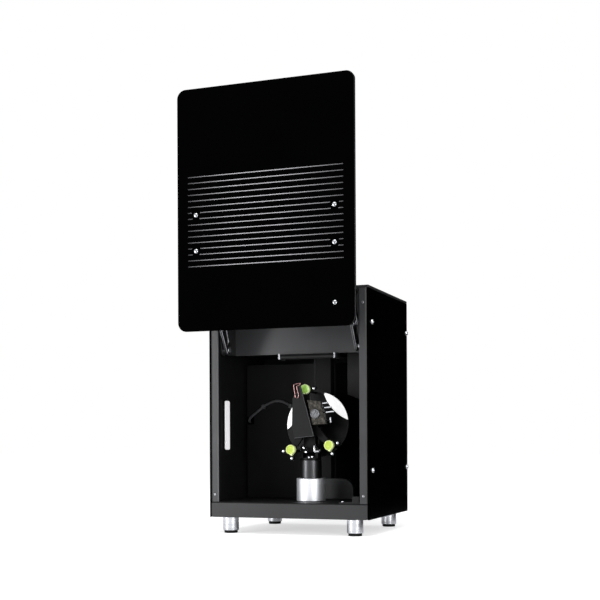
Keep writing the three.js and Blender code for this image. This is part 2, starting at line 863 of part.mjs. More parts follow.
const doorRear = -doorClosedGap - (closedY - openY);
const doorFront = doorRear - doorThickness;
const doorBottom = doorClosedBottom - (closedZ - openZ);
const doorTop = doorBottom + doorHeight;
const panelBack = doorFront + doorPanelThickness;
const boltX = bracketOuter - boltInset;
const boltPlaces = [];
for (const side of [-1, 1]) {
  for (const z of [boltLow, boltHigh]) boltPlaces.push([side * boltX, doorBottom + z]);
}
const catchPlace = [boltX, doorBottom + catchBoltZ];
const allBolts = [...boltPlaces, catchPlace];

function boltHoles(ya, yb, radius) {
  return allBolts.map(([x, z]) => rodY(radius, ya, yb, x, z, smallSides));
}

function doorPanel() {
  const half = doorWidth / 2;
  const panel = sheetY(roundedRectangle(-half, half, doorBottom, doorTop, doorCorner), doorFront, panelBack);
  const grooves = Array.from({ length: stripeCount }, (_, i) => {
    const z = doorBottom + stripeLowest + i * stripePitch;
    return box(stripeInset - half, half - stripeInset, doorFront - overrun, doorFront + stripeDepth,
      z - stripeWidth / 2, z + stripeWidth / 2);
  });
  const islands = boltHoles(doorFront - 2 * overrun, doorFront + overrun, stripeBreakRadius);
  return cut(panel, cut(join(...grooves), ...islands),
    ...boltHoles(doorFront - overrun, panelBack + overrun, boltShankRadius + seatGap));
}

function doorBacking() {
  const half = doorWidth / 2 - backingInset;
  const low = doorBottom + backingInset;
  const high = doorTop - backingInset;
  const corner = doorCorner - backingInset;
  const front = panelBack + seatGap;
  const inner = backingRim;
  const plate = sheetY(roundedRectangle(-half, half, low, high, corner), front, doorRear);
  const pocket = sheetY(roundedRectangle(-half + inner, half - inner, low + inner, high - inner,
    corner - inner / 2), front - overrun, doorRear - backingSheet);
  const bosses = boltHoles(front - 2 * overrun, doorRear, backingBoss);
  return cut(plate, cut(pocket, ...bosses),
    ...boltHoles(front - overrun, doorRear + overrun, boltShankRadius + seatGap));
}

function doorBracket(side) {
  const front = doorRear + seatGap;
  const back = front + bracketFlangeThickness;
  const top = doorBottom + boltHigh + bracketFoot;
  const [y, z] = doorPivot;
  const flange = box(side * bracketOuter, side * (bracketOuter - bracketFlangeWidth), front, back,
    z - bracketPivotRadius, top);
  const [controlY, controlZ] = doorControlPivot;
  const web = new THREE.Shape();
  web.moveTo(front, top);
  web.lineTo(front, z - bracketPivotRadius);
  web.absarc(y, z, bracketPivotRadius, -Math.PI / 2, Math.PI / 6, false);
  web.lineTo(controlY + bracketPivotRadius, controlZ);
  web.absarc(controlY, controlZ, bracketPivotRadius, 0, Math.PI / 4, false);
  web.lineTo(back, top);
  web.closePath();
  const bracket = join(flange, sheetX(web, side * bracketInner, side * bracketOuter),
    stud(side, liftPinRadius, bracketInner, liftInner, doorPivot),
    stud(side, controlPinRadius, bracketInner, controlInner, doorControlPivot));
  return cut(bracket, ...boltHoles(front - overrun, back + overrun, boltShankRadius + seatGap));
}

// A domed head, a shank through the door, and what holds it at the back.
function domedBolt([x, z], back) {
  const dome = turned([
    [0, 0], [boltHeadRadius, 0], [boltHeadRadius, boltHeadHeight / 2],
    [boltHeadRadius * 0.75, boltHeadHeight * 0.85], [0, boltHeadHeight],
  ], smallSides).rotateX(Math.PI / 2).translate(x, doorFront - seatGap, z);
  return join(dome, rodY(boltShankRadius, doorFront - seatGap - boltHeadHeight / 4, back, x, z, smallSides));
}

function bracketBolt(place) {
  const nutFront = doorRear + seatGap + bracketFlangeThickness + seatGap;
  const nut = rodY(boltNutRadius, nutFront, nutFront + boltNutHeight, ...place, 6);
  return join(domedBolt(place, nutFront + boltNutHeight), nut);
}

function doorStriker() {
  const [x, z] = catchPlace;
  const front = doorRear + seatGap;
  const block = box(x - strikerWidth / 2, x + strikerWidth / 2, front, front + strikerThickness,
    z - strikerWidth / 2, z + strikerWidth / 2);
  return join(domedBolt(catchPlace, front + strikerThickness / 2), block);
}

function catchPlate() {
  const right = postInner - bracketClearance;
  const plate = box(right - catchPlateLength, right, floorFrontInset, floorFrontInset + catchPlateDepth,
    onFloor, onFloor + catchPlateHeight);
  const tab = box(boltX - strikerWidth / 2, boltX + strikerWidth / 2, floorFrontInset,
    floorFrontInset + catchTabThickness, onFloor, onFloor + catchTabHeight);
  return join(plate, tab);
}

// Turntable, about its own axis

function turntableBase() {
  const top = onFloor + turntableHeight;
  const bore = stemRadius + pivotGap;
  const edge = turntableRadius - turntableChamfer;
  return turned([
    [bore, onFloor], [edge, onFloor], [turntableRadius, onFloor + turntableChamfer],
    [turntableRadius, top - turntableChamfer], [edge, top], [bore, top],
  ], wideSides);
}

function turntableMotor() {
  const half = motorSize / 2;
  const top = baseTop - sheetThickness - seatGap;
  const body = sheetZ(roundedRectangle(-half, half, -half, half, motorCorner), top - motorHeight, top);
  return cut(body, rodZ(stemRadius + pivotGap, top - motorHeight - overrun, top + overrun));
}

const spindleBottom = onFloor + turntableHeight + seatGap;
const motorBottom = baseTop - sheetThickness - seatGap - motorHeight;

function spindle() {
  const edge = spindleRadius - spindleChamfer;
  const head = turned([
    [0, spindleBottom], [edge, spindleBottom], [spindleRadius, spindleBottom + spindleChamfer],
    [spindleRadius, spindleTop - spindleChamfer], [edge, spindleTop], [0, spindleTop],
  ], wideSides);
  return join(head, rodZ(stemRadius, motorBottom + stemInset, spindleBottom + spindleChamfer));
}

function tiltFork() {
  const bottom = spindleTop + seatGap;
  const base = rodZ(forkBaseRadius, bottom, bottom + forkBaseHeight);
  const ear = new THREE.Shape();
  ear.moveTo(-forkEarRadius, bottom + forkBaseHeight / 2);
  ear.lineTo(forkEarRadius, bottom + forkBaseHeight / 2);
  ear.absarc(0, tiltHeight, forkEarRadius, 0, Math.PI, false);
  ear.closePath();
  const outside = forkGapHalf + forkEarThickness;
  const ears = [-1, 1].map((side) => sheetX(ear, side * forkGapHalf, side * outside));
  const heads = [-1, 1].map((side) => rodX(tiltPinHeadRadius, side * (outside - seatGap),
    side * (outside + tiltPinHeadLength), 0, tiltHeight));
  return join(base, ...ears, rodX(tiltPinRadius, -outside, outside, 0, tiltHeight), ...heads);
}

// Holder

const holderTurn = new THREE.Euler(rad(holderLean), rad(holderRoll), 0);
const shaftBore = shaftRadius + pivotGap;
const spiderBack = spiderFront + spiderThickness;
const stations = stationAngles.map((angle) => degreesOf(angle).map((share) => share * stationRadius));

function tiltHead() {
  const half = forkGapHalf - headSideGap;
  const top = holderHeight + headTopMargin;
  const outline = new THREE.Shape();
  outline.absarc(0, tiltHeight, headPivotRadius, Math.PI, 2 * Math.PI, false);
  outline.lineTo(headHalfDepth, tiltHeight + headPivotRadius);
  outline.lineTo(headHalfDepth, top);
  outline.lineTo(-headHalfDepth, top);
  outline.lineTo(-headHalfDepth, tiltHeight + headPivotRadius);
  outline.closePath();
  const place = new THREE.Matrix4().makeRotationFromEuler(holderTurn).setPosition(holderShift, 0, holderHeight);
  const shaft = rodY(shaftRadius, spiderFront, discFront + discThickness, 0, 0).applyMatrix4(place);
  const bore = rodX(tiltPinRadius + pivotGap, -half - overrun, half + overrun, 0, tiltHeight);
  return cut(join(sheetX(outline, -half, half), shaft), bore);
}

function spiderArm(angle) {
  const arm = polygon([
    [0, -spiderArmRoot], [stationRadius, -spiderArmTip], [stationRadius, spiderArmTip], [0, spiderArmRoot],
  ]);
  return sheetY(arm, spiderFront, spiderBack).rotateY(-rad(angle));
}

function ringSector(inner, outer, from, to) {
  const shape = new THREE.Shape();
  shape.absarc(0, 0, outer, rad(from), rad(to), false);
  shape.absarc(0, 0, inner, rad(to), rad(from), true);
  shape.closePath();
  return shape;
}

function screwPlaces() {
  const places = [];
  stations.forEach(([x, z], i) => {
    for (const angle of screwAngles[i]) {
      const [dx, dz] = degreesOf(angle);
      places.push([x + screwOffset * dx, z + screwOffset * dz]);
    }
  });
  return places;
}

function holderSpider() {
  const parts = [rodY(spiderHubRadius, spiderFront, spiderBack, 0, 0)];
  stationAngles.forEach((angle) => parts.push(spiderArm(angle)));
  stations.forEach(([x, z]) => parts.push(rodY(stationBoss, spiderFront, spiderBack, x, z)));
  screwPlaces().forEach(([x, z], i) => {
    const [stationX, stationZ] = stations[Math.floor(i / 2)];
    const reach = Math.hypot(x - stationX, z - stationZ);
    const angle = Math.atan2(z - stationZ, x - stationX);
    const link = box(0, reach, spiderFront, spiderBack, -screwEarRadius, screwEarRadius);
    parts.push(link.rotateY(-angle).translate(stationX, 0, stationZ));
    parts.push(rodY(screwEarRadius, spiderFront, spiderBack, x, z, smallSides));
    parts.push(rodY(screwHeadRadius, spiderFront - screwHeadHeight, spiderBack, x, z, smallSides));
  });
  const rimMiddle = stationRadius;
  parts.push(sheetY(ringSector(rimMiddle - rimArmWidth / 2, rimMiddle + rimArmWidth / 2, rimArmStart,
    rimArmEnd), spiderFront, spiderBack));
  const bores = stations.map(([x, z]) =>
    rodY(postRadius + pivotGap, spiderFront - overrun, spiderBack + overrun, x, z, smallSides));
  return cut(join(...parts), rodY(shaftBore, spiderFront - overrun, spiderBack + overrun, 0, 0), ...bores);
}

// The lens between the disc's rim and an arc that bulges towards its centre.
function lensOutline(clearance) {
  const outer = discRadius - lensRim - clearance;
  const middle = (lensStart + lensEnd) / 2;
  const trim = THREE.MathUtils.radToDeg(2 * clearance / outer);
  const halfSpan = (lensEnd - lensStart) / 2 - trim;
  const chordAt = outer * Math.cos(rad(halfSpan));
  const halfChord = outer * Math.sin(rad(halfSpan));
  const sagitta = chordAt - lensInnerReach - clearance;
  const innerRadius = (halfChord ** 2 + sagitta ** 2) / (2 * sagitta);
  const [ux, uz] = degreesOf(middle);
  const centreAt = lensInnerReach + clearance + innerRadius;
  const halfInner = Math.asin(halfChord / innerRadius);
  const facing = rad(middle + 180);
  const shape = new THREE.Shape();
  shape.absarc(0, 0, outer, rad(middle - halfSpan), rad(middle + halfSpan), false);
  shape.absarc(ux * centreAt, uz * centreAt, innerRadius, facing - halfInner, facing + halfInner, false);
  shape.closePath();
  return shape;
}

function lens(side, front, back, clearance) {
  const turn = side > 0 ? 0 : Math.PI + rad(leftLensLead - lensStart - lensEnd);
  return sheetY(lensOutline(clearance), front, back, 2 * cornerSteps).rotateY(-turn);
}

function backDisc() {
  const disc = rodY(discRadius, discFront, discFront + discThickness, 0, 0, wideSides);
  const posts = stations.map(([x, z]) => rodY(postRadius, postEnd, discFront + discThickness / 2, x, z, smallSides));
  const bore = rodY(shaftBore, discFront - overrun, discFront + discThickness + overrun, 0, 0);
  const seats = [1, -1].map((side) => lens(side, discFront - overrun, discFront + lensThickness + seatGap, 0));
  return join(cut(disc, bore, ...seats), ...posts);
}

function whiteSegment(side) {
  return lens(side, discFront, discFront + lensThickness, seatGap);
}

function clampKnob([x, z]) {
  const outline = new THREE.Shape();
  outline.absarc(0, 0, knobRadius, rad(knobNoseAngle + knobNoseSpread), rad(knobNoseAngle - knobNoseSpread),
    false);
  outline.lineTo(...degreesOf(knobNoseAngle).map((share) => share * knobNose));
  outline.closePath();
  const back = spiderFront - seatGap;
  const body = sheetY(outline, back - knobLength, back, 4 * cornerSteps).translate(x, 0, z);
  return cut(body, rodY(postRadius + pivotGap, back - knobBoreDepth, back + overrun, x, z, smallSides));
}

function taperedPlate() {
  const outline = polygon([
    [plateLeft, plateBottom], [plateRight, plateBottom], [plateTipRight, plateTop],
    [plateTipLeft, plateTop], [plateShoulderX, plateShoulderZ], [plateWaistX, plateWaistZ], [plateLeft, plateHeelZ],
  ]);
  const back = plateFront + plateThickness;
  const stand = box(plateStandX - plateStandHalf, plateStandX + plateStandHalf, back - plateThickness / 2,
    spiderFront - seatGap, -plateStandHalf, plateStandHalf);
  return join(sheetY(outline, plateFront, back), stand);
}

function hubBlock() {
  const back = spiderFront - seatGap;
  const front = back - hubBlockDepth;
  const corners = hubCornerShares.map(([x, z]) => [x * hubBlockWidth, z * hubBlockHeight]);
  const block = sheetY(polygon(corners), front, back);
  const [hubX, hubZ] = [hubShares[0] * hubBlockWidth, hubShares[1] * hubBlockHeight];
  const hub = rodY(hubRadius, front - hubHeight, front + hubHeight, hubX, hubZ);
  const slot = box(-hubRadius, hubRadius, front - hubHeight - overrun, front - hubHeight / 2,
    -hubSlotWidth / 2, hubSlotWidth / 2).rotateY(-rad(hubSlotLean)).translate(hubX, 0, hubZ);
  const root = barRootShare * hubBlockWidth;
  const [barFront, barBack] = [front + barDepth / 2, front + barDepth * 1.5];
  const bar = (reachShare, offsetShare) => {
    const z = offsetShare * hubBlockHeight;
    return box(root, reachShare * hubBlockWidth, barFront, barBack, z - barHeight / 2, z + barHeight / 2);
  };
  const bars = barReachShares.map((share, i) => bar(share, barOffsetShares[i]));
  const tabEnd = tabReachShare * hubBlockWidth;
  const tabMiddle = tabOffsetShare * hubBlockHeight;
  const tab = box(tabEnd - tabWidth, tabEnd, barFront, barBack, tabMiddle - tabLength / 2, tabMiddle + tabLength / 2);
  return cut(join(block, hub, ...bars, bar(tabReachShare, tabOffsetShare), tab), slot)
    .translate([hubBlockX, 0, hubBlockZ]);
}

function hairpinWire() {
  const radius = (wireRight - wireLeft) / 2;
  const middle = (wireRight + wireLeft) / 2;
  const y = plateFront - seatGap - wireRadius;
  const path = new THREE.CurvePath();
  const top = new THREE.CatmullRomCurve3(Array.from({ length: 13 }, (_, i) => {
    const angle = Math.PI - Math.PI * i / 12;
    return new THREE.Vector3(middle + radius * Math.cos(angle), y, wireTop + radius * Math.sin(angle));
  }));
  path.add(new THREE.LineCurve3(new THREE.Vector3(wireLeft, y, wireBottom), top.points[0]));
  path.add(top);
  path.add(new THREE.LineCurve3(top.points[12], new THREE.Vector3(wireRight, y, wireBottom)));
  return tube(path, wireRadius, wireSides, wireSteps);
}

// Optics and electronics

function projector() {
  const bottom = shelfHeight + sheetThickness + seatGap;
  const height = (topUnder - bottom) * projectorHeightShare;
  const [barrelRadius, barrelBore, barrelLength, barrelRise] = barrelShares.map((share) => share * height);
  const half = projectorWidth / 2;
  const front = windowBack + projectorInset;
  const back = front + (backInside - front) * projectorDepthShare;
  const body = box(turntableX - half, turntableX + half, front, back, bottom, bottom + height);
  const aim = (radius, from, to) => rodY(radius, -to, -from, 0, 0).rotateX(rad(barrelTilt))
    .translate(turntableX, front, bottom + barrelRise);
  return cut(join(body, aim(barrelRadius, -barrelRadius, barrelLength)),
    aim(barrelBore, barrelLength / 2, barrelLength + overrun));
}

function controlBoard() {
  const back = backInside - boardStandoff;
  const front = back - boardThickness;
  const halfWidth = boardWidth / 2;
  const halfHeight = boardHeight / 2;
  const parts = [box(boardX - halfWidth, boardX + halfWidth, front, back, boardZ - halfHeight, boardZ + halfHeight)];
  for (const side of [-1, 1]) {
    for (const level of [-1, 1]) {
      parts.push(rodY(standoffRadius, front, backInside, boardX + side * (halfWidth - standoffInset),
        boardZ + level * (halfHeight - standoffInset), smallSides));
    }
  }
  for (const [alongX, alongZ, wide, high, deep] of chipShares) {
    const x = boardX + alongX * boardWidth;
    const z = boardZ + alongZ * boardHeight;
    parts.push(box(x - wide * halfWidth, x + wide * halfWidth, front - deep * boardStandoff, back,
      z - high * halfHeight, z + high * halfHeight));
  }
  return join(...parts);
}

function powerSupply() {
  const bottom = baseTop + seatGap;
  const middle = (bayFront + backInside) / 2;
  const half = (backInside - bayFront) * supplyDepthShare / 2;
  return box(supplyX - supplyWidth / 2, supplyX + supplyWidth / 2, middle - half, middle + half,
    bottom, bottom + supplyHeight);
}

const inletFace = cabinetDepth + seatGap + inletFlangeThickness + inletRim;
const rockerZ = inletZ - socketRise;
const rockerY = inletFace - rockerCrown - sheetThickness / 2;

function powerInlet() {
  const halfWidth = inletWidth / 2;
  const halfHeight = inletHeight / 2;
  const flangeFront = cabinetDepth + seatGap;
  const flange = box(inletX - halfWidth - inletFlange, inletX + halfWidth + inletFlange, flangeFront, inletFace,
    inletZ - halfHeight - inletFlange, inletZ + halfHeight + inletFlange);
  const body = box(inletX - halfWidth, inletX + halfWidth, inletFace - inletDepth, inletFace,
    inletZ - halfHeight, inletZ + halfHeight);
  const socketZ = inletZ + socketRise;
  const socket = box(inletX - socketWidth / 2, inletX + socketWidth / 2, inletFace - socketDepth,
    inletFace + overrun, socketZ - socketHeight / 2, socketZ + socketHeight / 2);
  const contacts = [-1, 0, 1].map((side) => box(
    inletX + side * contactPitch - contactWidth / 2, inletX + side * contactPitch + contactWidth / 2,
    inletFace - socketDepth - contactWidth, inletFace - socketDepth + contactLength,
    socketZ - contactHeight / 2, socketZ + contactHeight / 2));
  const pocketHalf = rockerWidth / 2 + rockerSideGap;
  const pocketHeight = rockerHeight / 2 + rockerPocketGap;
  const pocket = box(inletX - pocketHalf, inletX + pocketHalf, rockerY - rockerBody * 2, inletFace + overrun,
    rockerZ - pocketHeight, rockerZ + pocketHeight);
  const pinReach = pocketHalf + rockerPinReach + seatGap;
  const pinHole = rodX(rockerPinRadius + pivotGap, inletX - pinReach, inletX + pinReach, rockerY, rockerZ, smallSides);
  return cut(join(cut(join(flange, body), socket), ...contacts), pocket, pinHole);
}

function powerSwitch() {
  const half = rockerHeight / 2;
  const outline = polygon([
    [-rockerBody, -half], [rockerCrown, -half], [rockerDip, 0], [rockerCrown, half], [-rockerBody, half],
  ]);
  const rocker = sheetX(outline, -rockerWidth / 2, rockerWidth / 2);
  const reach = rockerWidth / 2 + rockerSideGap + rockerPinReach;
  return join(rocker, rodX(rockerPinRadius, -reach, reach, 0, 0, smallSides));
}

// Assembly

piece(cabinet, 'base_pan', basePan(), satinGrey);
piece(cabinet, 'bottom_cover', bottomCover(), darkSheet);
piece(cabinet, 'chamber_floor', chamberFloor(), darkSheet);
piece(cabinet, 'top_panel', topPanel(), satinGrey);
piece(cabinet, 'back_cover', backCover(), satinGrey);
piece(cabinet, 'chamber_back', chamberBack(), darkSheet);
piece(cabinet, 'junction_box', junctionBox(), satinGrey);
piece(cabinet, 'cable_column', cableColumn(), darkSteel);
piece(cabinet, 'sensor_cable', tube(cableCurve, cableRadius, cableSides, cableSteps), cableGrey);
piece(cabinet, 'camera_housing', cameraHousing(), satinGrey);
piece(cabinet, 'optics_shelf', opticsShelf(), darkSheet);
piece(cabinet, 'upper_fascia', upperFascia(), satinGrey);
piece(cabinet, 'bar_lamp', barLamp(), darkSteel);
piece(cabinet, 'light_panel_housing', lightHousing(), matteBlack);
piece(cabinet, 'light_panel_diffuser', lightDiffuser(), diffuserWhite);
piece(cabinet, 'catch_plate', catchPlate(), brightSteel);
piece(cabinet, 'projector', projector(), matteBlack);
piece(cabinet, 'control_board', controlBoard(), boardGreen);
piece(cabinet, 'power_supply', powerSupply(), brightSteel);
piece(cabinet, 'power_inlet', powerInlet(), matteBlack);
for (const [name, side] of Object.entries(sides)) {
  piece(cabinet, `${name}_side_panel`, sidePanel(side), glossBlack);
  piece(cabinet, `${name}_front_post`, frontPost(side), satinGrey);
  piece(cabinet, `${name}_cheek_plate`, cheekPlate(side), satinGrey);
  piece(lift, `${name}_lift_arm`, liftArm(side), darkSteel);
  piece(lift, `${name}_control_arm`, controlArm(side), darkSteel);
  piece(door, `${name}_door_bracket`, doorBracket(side), darkSteel);
}
const footX = cabinetWidth / 2 - footInsetX;
for (const [name, side] of Object.entries(sides)) {
  for (const [end, y] of [['front', footInsetY], ['back', cabinetDepth - footInsetY]]) {
    piece(cabinet, `${end}_${name}_foot`, foot().translate(side * footX, y, 0), brightSteel);
  }
}
const rocker = new THREE.Group();
rocker.position.set(inletX, rockerY, rockerZ);
rocker.rotation.x = rad(rockerTilt);
piece(rocker, 'power_switch', powerSwitch(), matteBlack);
cabinet.add(rocker);

piece(door, 'door_panel', doorPanel(), glossBlack);
piece(door, 'door_backing', doorBacking(), matteBlack);
boltPlaces.forEach((place, i) => piece(door, `bracket_bolt_${i + 1}`, bracketBolt(place), brightSteel));
piece(door, 'door_striker', doorStriker(), brightSteel);

piece(turntable, 'turntable_base', turntableBase(), brightSteel);
piece(turntable, 'turntable_motor', turntableMotor(), darkSteel);
piece(turntable, 'spindle', spindle(), darkSteel);
piece(turntable, 'tilt_fork', tiltFork(), matteBlack);
piece(turntable, 'tilt_head', tiltHead(), matteBlack);

piece(holder, 'holder_spider', holderSpider(), matteBlack);
piece(holder, 'back_disc', backDisc(), glossBlack);
piece(holder, 'white_segment_right', whiteSegment(1), diffuserWhite);
piece(holder, 'white_segment_left', whiteSegment(-1), diffuserWhite);
stations.forEach((place, i) => piece(holder, `clamp_knob_${i + 1}`, clampKnob(place), limeGreen));
piece(holder, 'tapered_plate', taperedPlate(), darkSheet);
piece(holder, 'hub_block', hubBlock(), bronzeGrey);
piece(holder, 'hairpin_wire', hairpinWire(), copper);

holder.position.set(holderShift, 0, holderHeight);
holder.rotation.copy(holderTurn);
turntable.add(holder);
turntable.position.set(turntableX, turntableY, 0);
machine.add(cabinet, lift, door, turntable);

// The origin is under the middle of the whole machine, on the surface that it stands on.
const frontReach = doorFront - seatGap - boltHeadHeight;
machine.position.y = -(frontReach + inletFace) / 2;

const scanner = new THREE.Group();
scanner.add(machine);

export default scanner;
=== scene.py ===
# %% [markdown]
# # A laboratory scanner
# The machine is a dark sheet-metal cabinet on four silver feet. A large glossy door hangs in front of
# it on two pairs of arms, and a turntable inside carries a model holder with three lime knobs.
#
# The imported CAD model comes in first and is the fixed frame, in metres.

# %% Load the frame
import json
import math

import bmesh
import bpy
from mathutils import Matrix, Vector


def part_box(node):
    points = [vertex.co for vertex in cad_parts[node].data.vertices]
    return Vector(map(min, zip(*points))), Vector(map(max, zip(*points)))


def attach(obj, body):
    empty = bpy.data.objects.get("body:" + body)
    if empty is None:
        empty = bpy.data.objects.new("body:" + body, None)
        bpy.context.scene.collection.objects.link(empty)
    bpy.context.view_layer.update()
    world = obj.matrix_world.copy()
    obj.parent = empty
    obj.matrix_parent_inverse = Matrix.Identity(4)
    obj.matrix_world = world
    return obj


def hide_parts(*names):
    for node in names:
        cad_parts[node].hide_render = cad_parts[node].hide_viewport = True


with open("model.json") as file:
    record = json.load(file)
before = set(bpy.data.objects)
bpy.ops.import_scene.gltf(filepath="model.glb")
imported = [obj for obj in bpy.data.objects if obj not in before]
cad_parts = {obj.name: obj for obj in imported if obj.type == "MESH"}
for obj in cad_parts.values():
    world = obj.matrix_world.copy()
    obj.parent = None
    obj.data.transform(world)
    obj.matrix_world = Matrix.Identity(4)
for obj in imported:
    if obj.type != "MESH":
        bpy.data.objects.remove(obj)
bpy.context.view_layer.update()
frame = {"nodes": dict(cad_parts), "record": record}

# %% [markdown]
# Small helpers come first. Sizes read more easily in millimetres from the cabinet's front face, so
# `mm` turns such a place into the frame's metres. `settle` gives a piece to the body it moves with and
# hides the CAD nodes that it stands for; the record knows each node's body and slot. `wired` adds a
# shader or geometry node: an input is a value or the output of an earlier node.

# %% Places, bodies and nodes
FRONT = 108.6056
SIDES = ((-1, "left"), (1, "right"))
home = {}
for part in frame["record"]["subparts"]:
    home[part["node"]] = [None, part["material_slot"]]
for body, nodes in frame["record"]["behaviour"]["bodies"].items():
    for node in nodes:
        home[node][0] = body


def mm(x, y, z):
    return Vector((x, y - FRONT, z)) / 1000


def moved(x, y, z):
    return Matrix.Translation(Vector((x, y, z)) / 1000)


def rotated(degrees, axis):
    return Matrix.Rotation(math.radians(degrees), 4, axis)


def shifted(x, y, z, turn=Matrix()):
    """A place in cabinet millimetres."""
    return Matrix.Translation(mm(x, y, z)) @ turn


def polar(radius, angle):
    return radius * math.cos(angle), radius * math.sin(angle)


def linked(name, data):
    thing = bpy.data.objects.new(name, data)
    bpy.context.collection.objects.link(thing)
    return thing


def settle(piece, body, slot, *nodes):
    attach(piece, body)
    if nodes:
        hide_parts(*nodes)
    return piece


def stand_for(piece, *nodes):
    """Settles a piece where the nodes that it replaces were."""
    return settle(piece, *home[nodes[0]], *nodes)


def along_with(piece, node):
    """Settles an extra piece beside a node, without hiding it."""
    return settle(piece, *home[node])


def wired(tree, kind, inputs, result=0, **settings):
    made = tree.nodes.new(kind)
    for key, value in settings.items():
        setattr(made, key, value)
    for key, value in inputs.items():
        if isinstance(value, bpy.types.NodeSocket):
            tree.links.new(value, made.inputs[key])
        else:
            made.inputs[key].default_value = value
    return made.outputs[result] if len(made.outputs) else None


print("nodes with a home:", len(home))

# %% [markdown]
# The camera stands low, to the right of the machine's middle, and looks level. The picture plane is
# shifted upwards, as in a view camera, so nothing leans.

# %% Camera
camera = linked("camera", bpy.data.cameras.new("camera"))
camera.data.sensor_width = 36
camera.data.lens = 66.71
camera.data.shift_y = 0.22829
heading, tip, roll = 0.3499215, 0.0003377, -0.0045629
camera.matrix_world = (
    Matrix.Translation((0.970007, -2.674641, 0.241268))
    @ Matrix.Rotation(heading, 4, "Z")
    @ Matrix.Rotation(math.pi / 2 + tip, 4, "X")
    @ Matrix.Rotation(roll, 4, "Z")
)
bpy.context.scene.camera = camera
print("camera is", round(camera.location.length, 2), "m from the machine")

# %% [markdown]
# The background is white, but a white room would wash out black lacquer. Light Path splits the jobs:
# camera, mirror and glass rays see white, the rays that light a matt surface see a softer grey. Two
# tall soft boxes in front give turned metal its two bright bands, and a broad one hangs above.

# %% World and lamps
world = bpy.data.worlds.new("studio")
bpy.context.scene.world = world
world.use_nodes = True
sky = world.node_tree
sky.nodes.clear()
path = wired(sky, "ShaderNodeLightPath", {}).node.outputs
clear = wired(sky, "ShaderNodeMath", {0: path["Is Glossy Ray"], 1: path["Is Transmission Ray"]}, operation="MAXIMUM")
seen = wired(sky, "ShaderNodeMath", {0: path["Is Camera Ray"], 1: clear}, operation="MAXIMUM")
soft = wired(sky, "ShaderNodeBackground", {"Color": (1, 1, 1, 1), "Strength": 0.5})
white = wired(sky, "ShaderNodeBackground", {"Color": (1, 1, 1, 1), "Strength": 1.0})
either = wired(sky, "ShaderNodeMixShader", {0: seen, 1: soft, 2: white})
wired(sky, "ShaderNodeOutputWorld", {"Surface": either})


def soft_box(name, place, aim_height, width, height, power):
    light = bpy.data.lights.new(name, "AREA")
    light.shape, light.size, light.size_y, light.energy = "RECTANGLE", width, height, power
    lamp = linked(name, light)
    lamp.location = place
    lamp.rotation_euler = (Vector((0, 0, aim_height)) - Vector(place)).to_track_quat("-Z", "Y").to_euler()
    print(name, power, "W")


soft_box("left_box", (-1.45, -1.75, 0.42), 0.33, 0.5, 0.9, 26)
soft_box("right_box", (1.75, -1.5, 0.45), 0.33, 0.35, 0.9, 16)
soft_box("top_box", (0.1, -1.0, 2.6), 0.5, 1.6, 1.2, 34)

# %% [markdown]
# Two black cards are out of the picture: one stands to the right and behind, one lies on the floor
# beside the machine. A lacquered side at a shallow angle mirrors whatever lies past it, and the cards
# keep it black and glossy. Only mirror rays see them, so they take no light from the machine.

# %% Black cards
def black_card(name, corners):
    shape = bpy.data.meshes.new(name)
    shape.from_pydata(corners, [], [(0, 1, 2, 3)])
    card = linked(name, shape)
    paint = bpy.data.materials.new(name)
    paint.use_nodes = True
    sockets = paint.node_tree.nodes["Principled BSDF"].inputs
    sockets["Base Color"].default_value = (0.002, 0.002, 0.002, 1)
    sockets["Specular IOR Level"].default_value = 0.0
    shape.materials.append(paint)
    card.visible_camera = card.visible_diffuse = card.visible_shadow = False
    print(name, "starts at", corners[0])


far, behind, above_floor = 3.0, 1.5, 0.002
black_card("standing_card", [(0.27, behind, 0), (far, behind, 0), (far, behind, far), (0.27, behind, far)])
corners = ((0.34, -0.3), (far, -0.3), (far, behind), (0.34, behind))
black_card("lying_card", [(x, y, above_floor) for x, y in corners])

# %% [markdown]
# The floor is pale and plain. It keeps the machine's shadow, and a little light of its own in camera
# rays lifts its open part to the background's white, so no horizon shows.

# %% Floor
floor_mesh = bpy.data.meshes.new("floor")
floor_mesh.from_pydata([(-12, -12, 0), (12, -12, 0), (12, 12, 0), (-12, 12, 0)], [], [(0, 1, 2, 3)])
floor = linked("floor", floor_mesh)
pale = bpy.data.materials.new("pale_floor")
pale.use_nodes = True
parts = pale.node_tree
parts.nodes.clear()
matt = wired(parts, "ShaderNodeBsdfDiffuse", {"Color": (0.86, 0.86, 0.87, 1)})
ray = wired(parts, "ShaderNodeLightPath", {}, "Is Camera Ray")
lifted = wired(parts, "ShaderNodeMath", {0: ray, 1: 0.6}, operation="MULTIPLY")
lift = wired(parts, "ShaderNodeEmission", {"Strength": lifted})
both = wired(parts, "ShaderNodeAddShader", {0: matt, 1: lift})
wired(parts, "ShaderNodeOutputMaterial", {"Surface": both})
floor_mesh.materials.append(pale)
print("floor is 24 m square")

# %% [markdown]
# Every finish starts as one Principled shader. The class keeps the wiring short: it reads a pattern
# on the piece's own coordinates, in metres, and leads it to colour, roughness or height. A value that
# is the same all over stays on the shader's own socket.

# %% Finish helper
finishes = {}


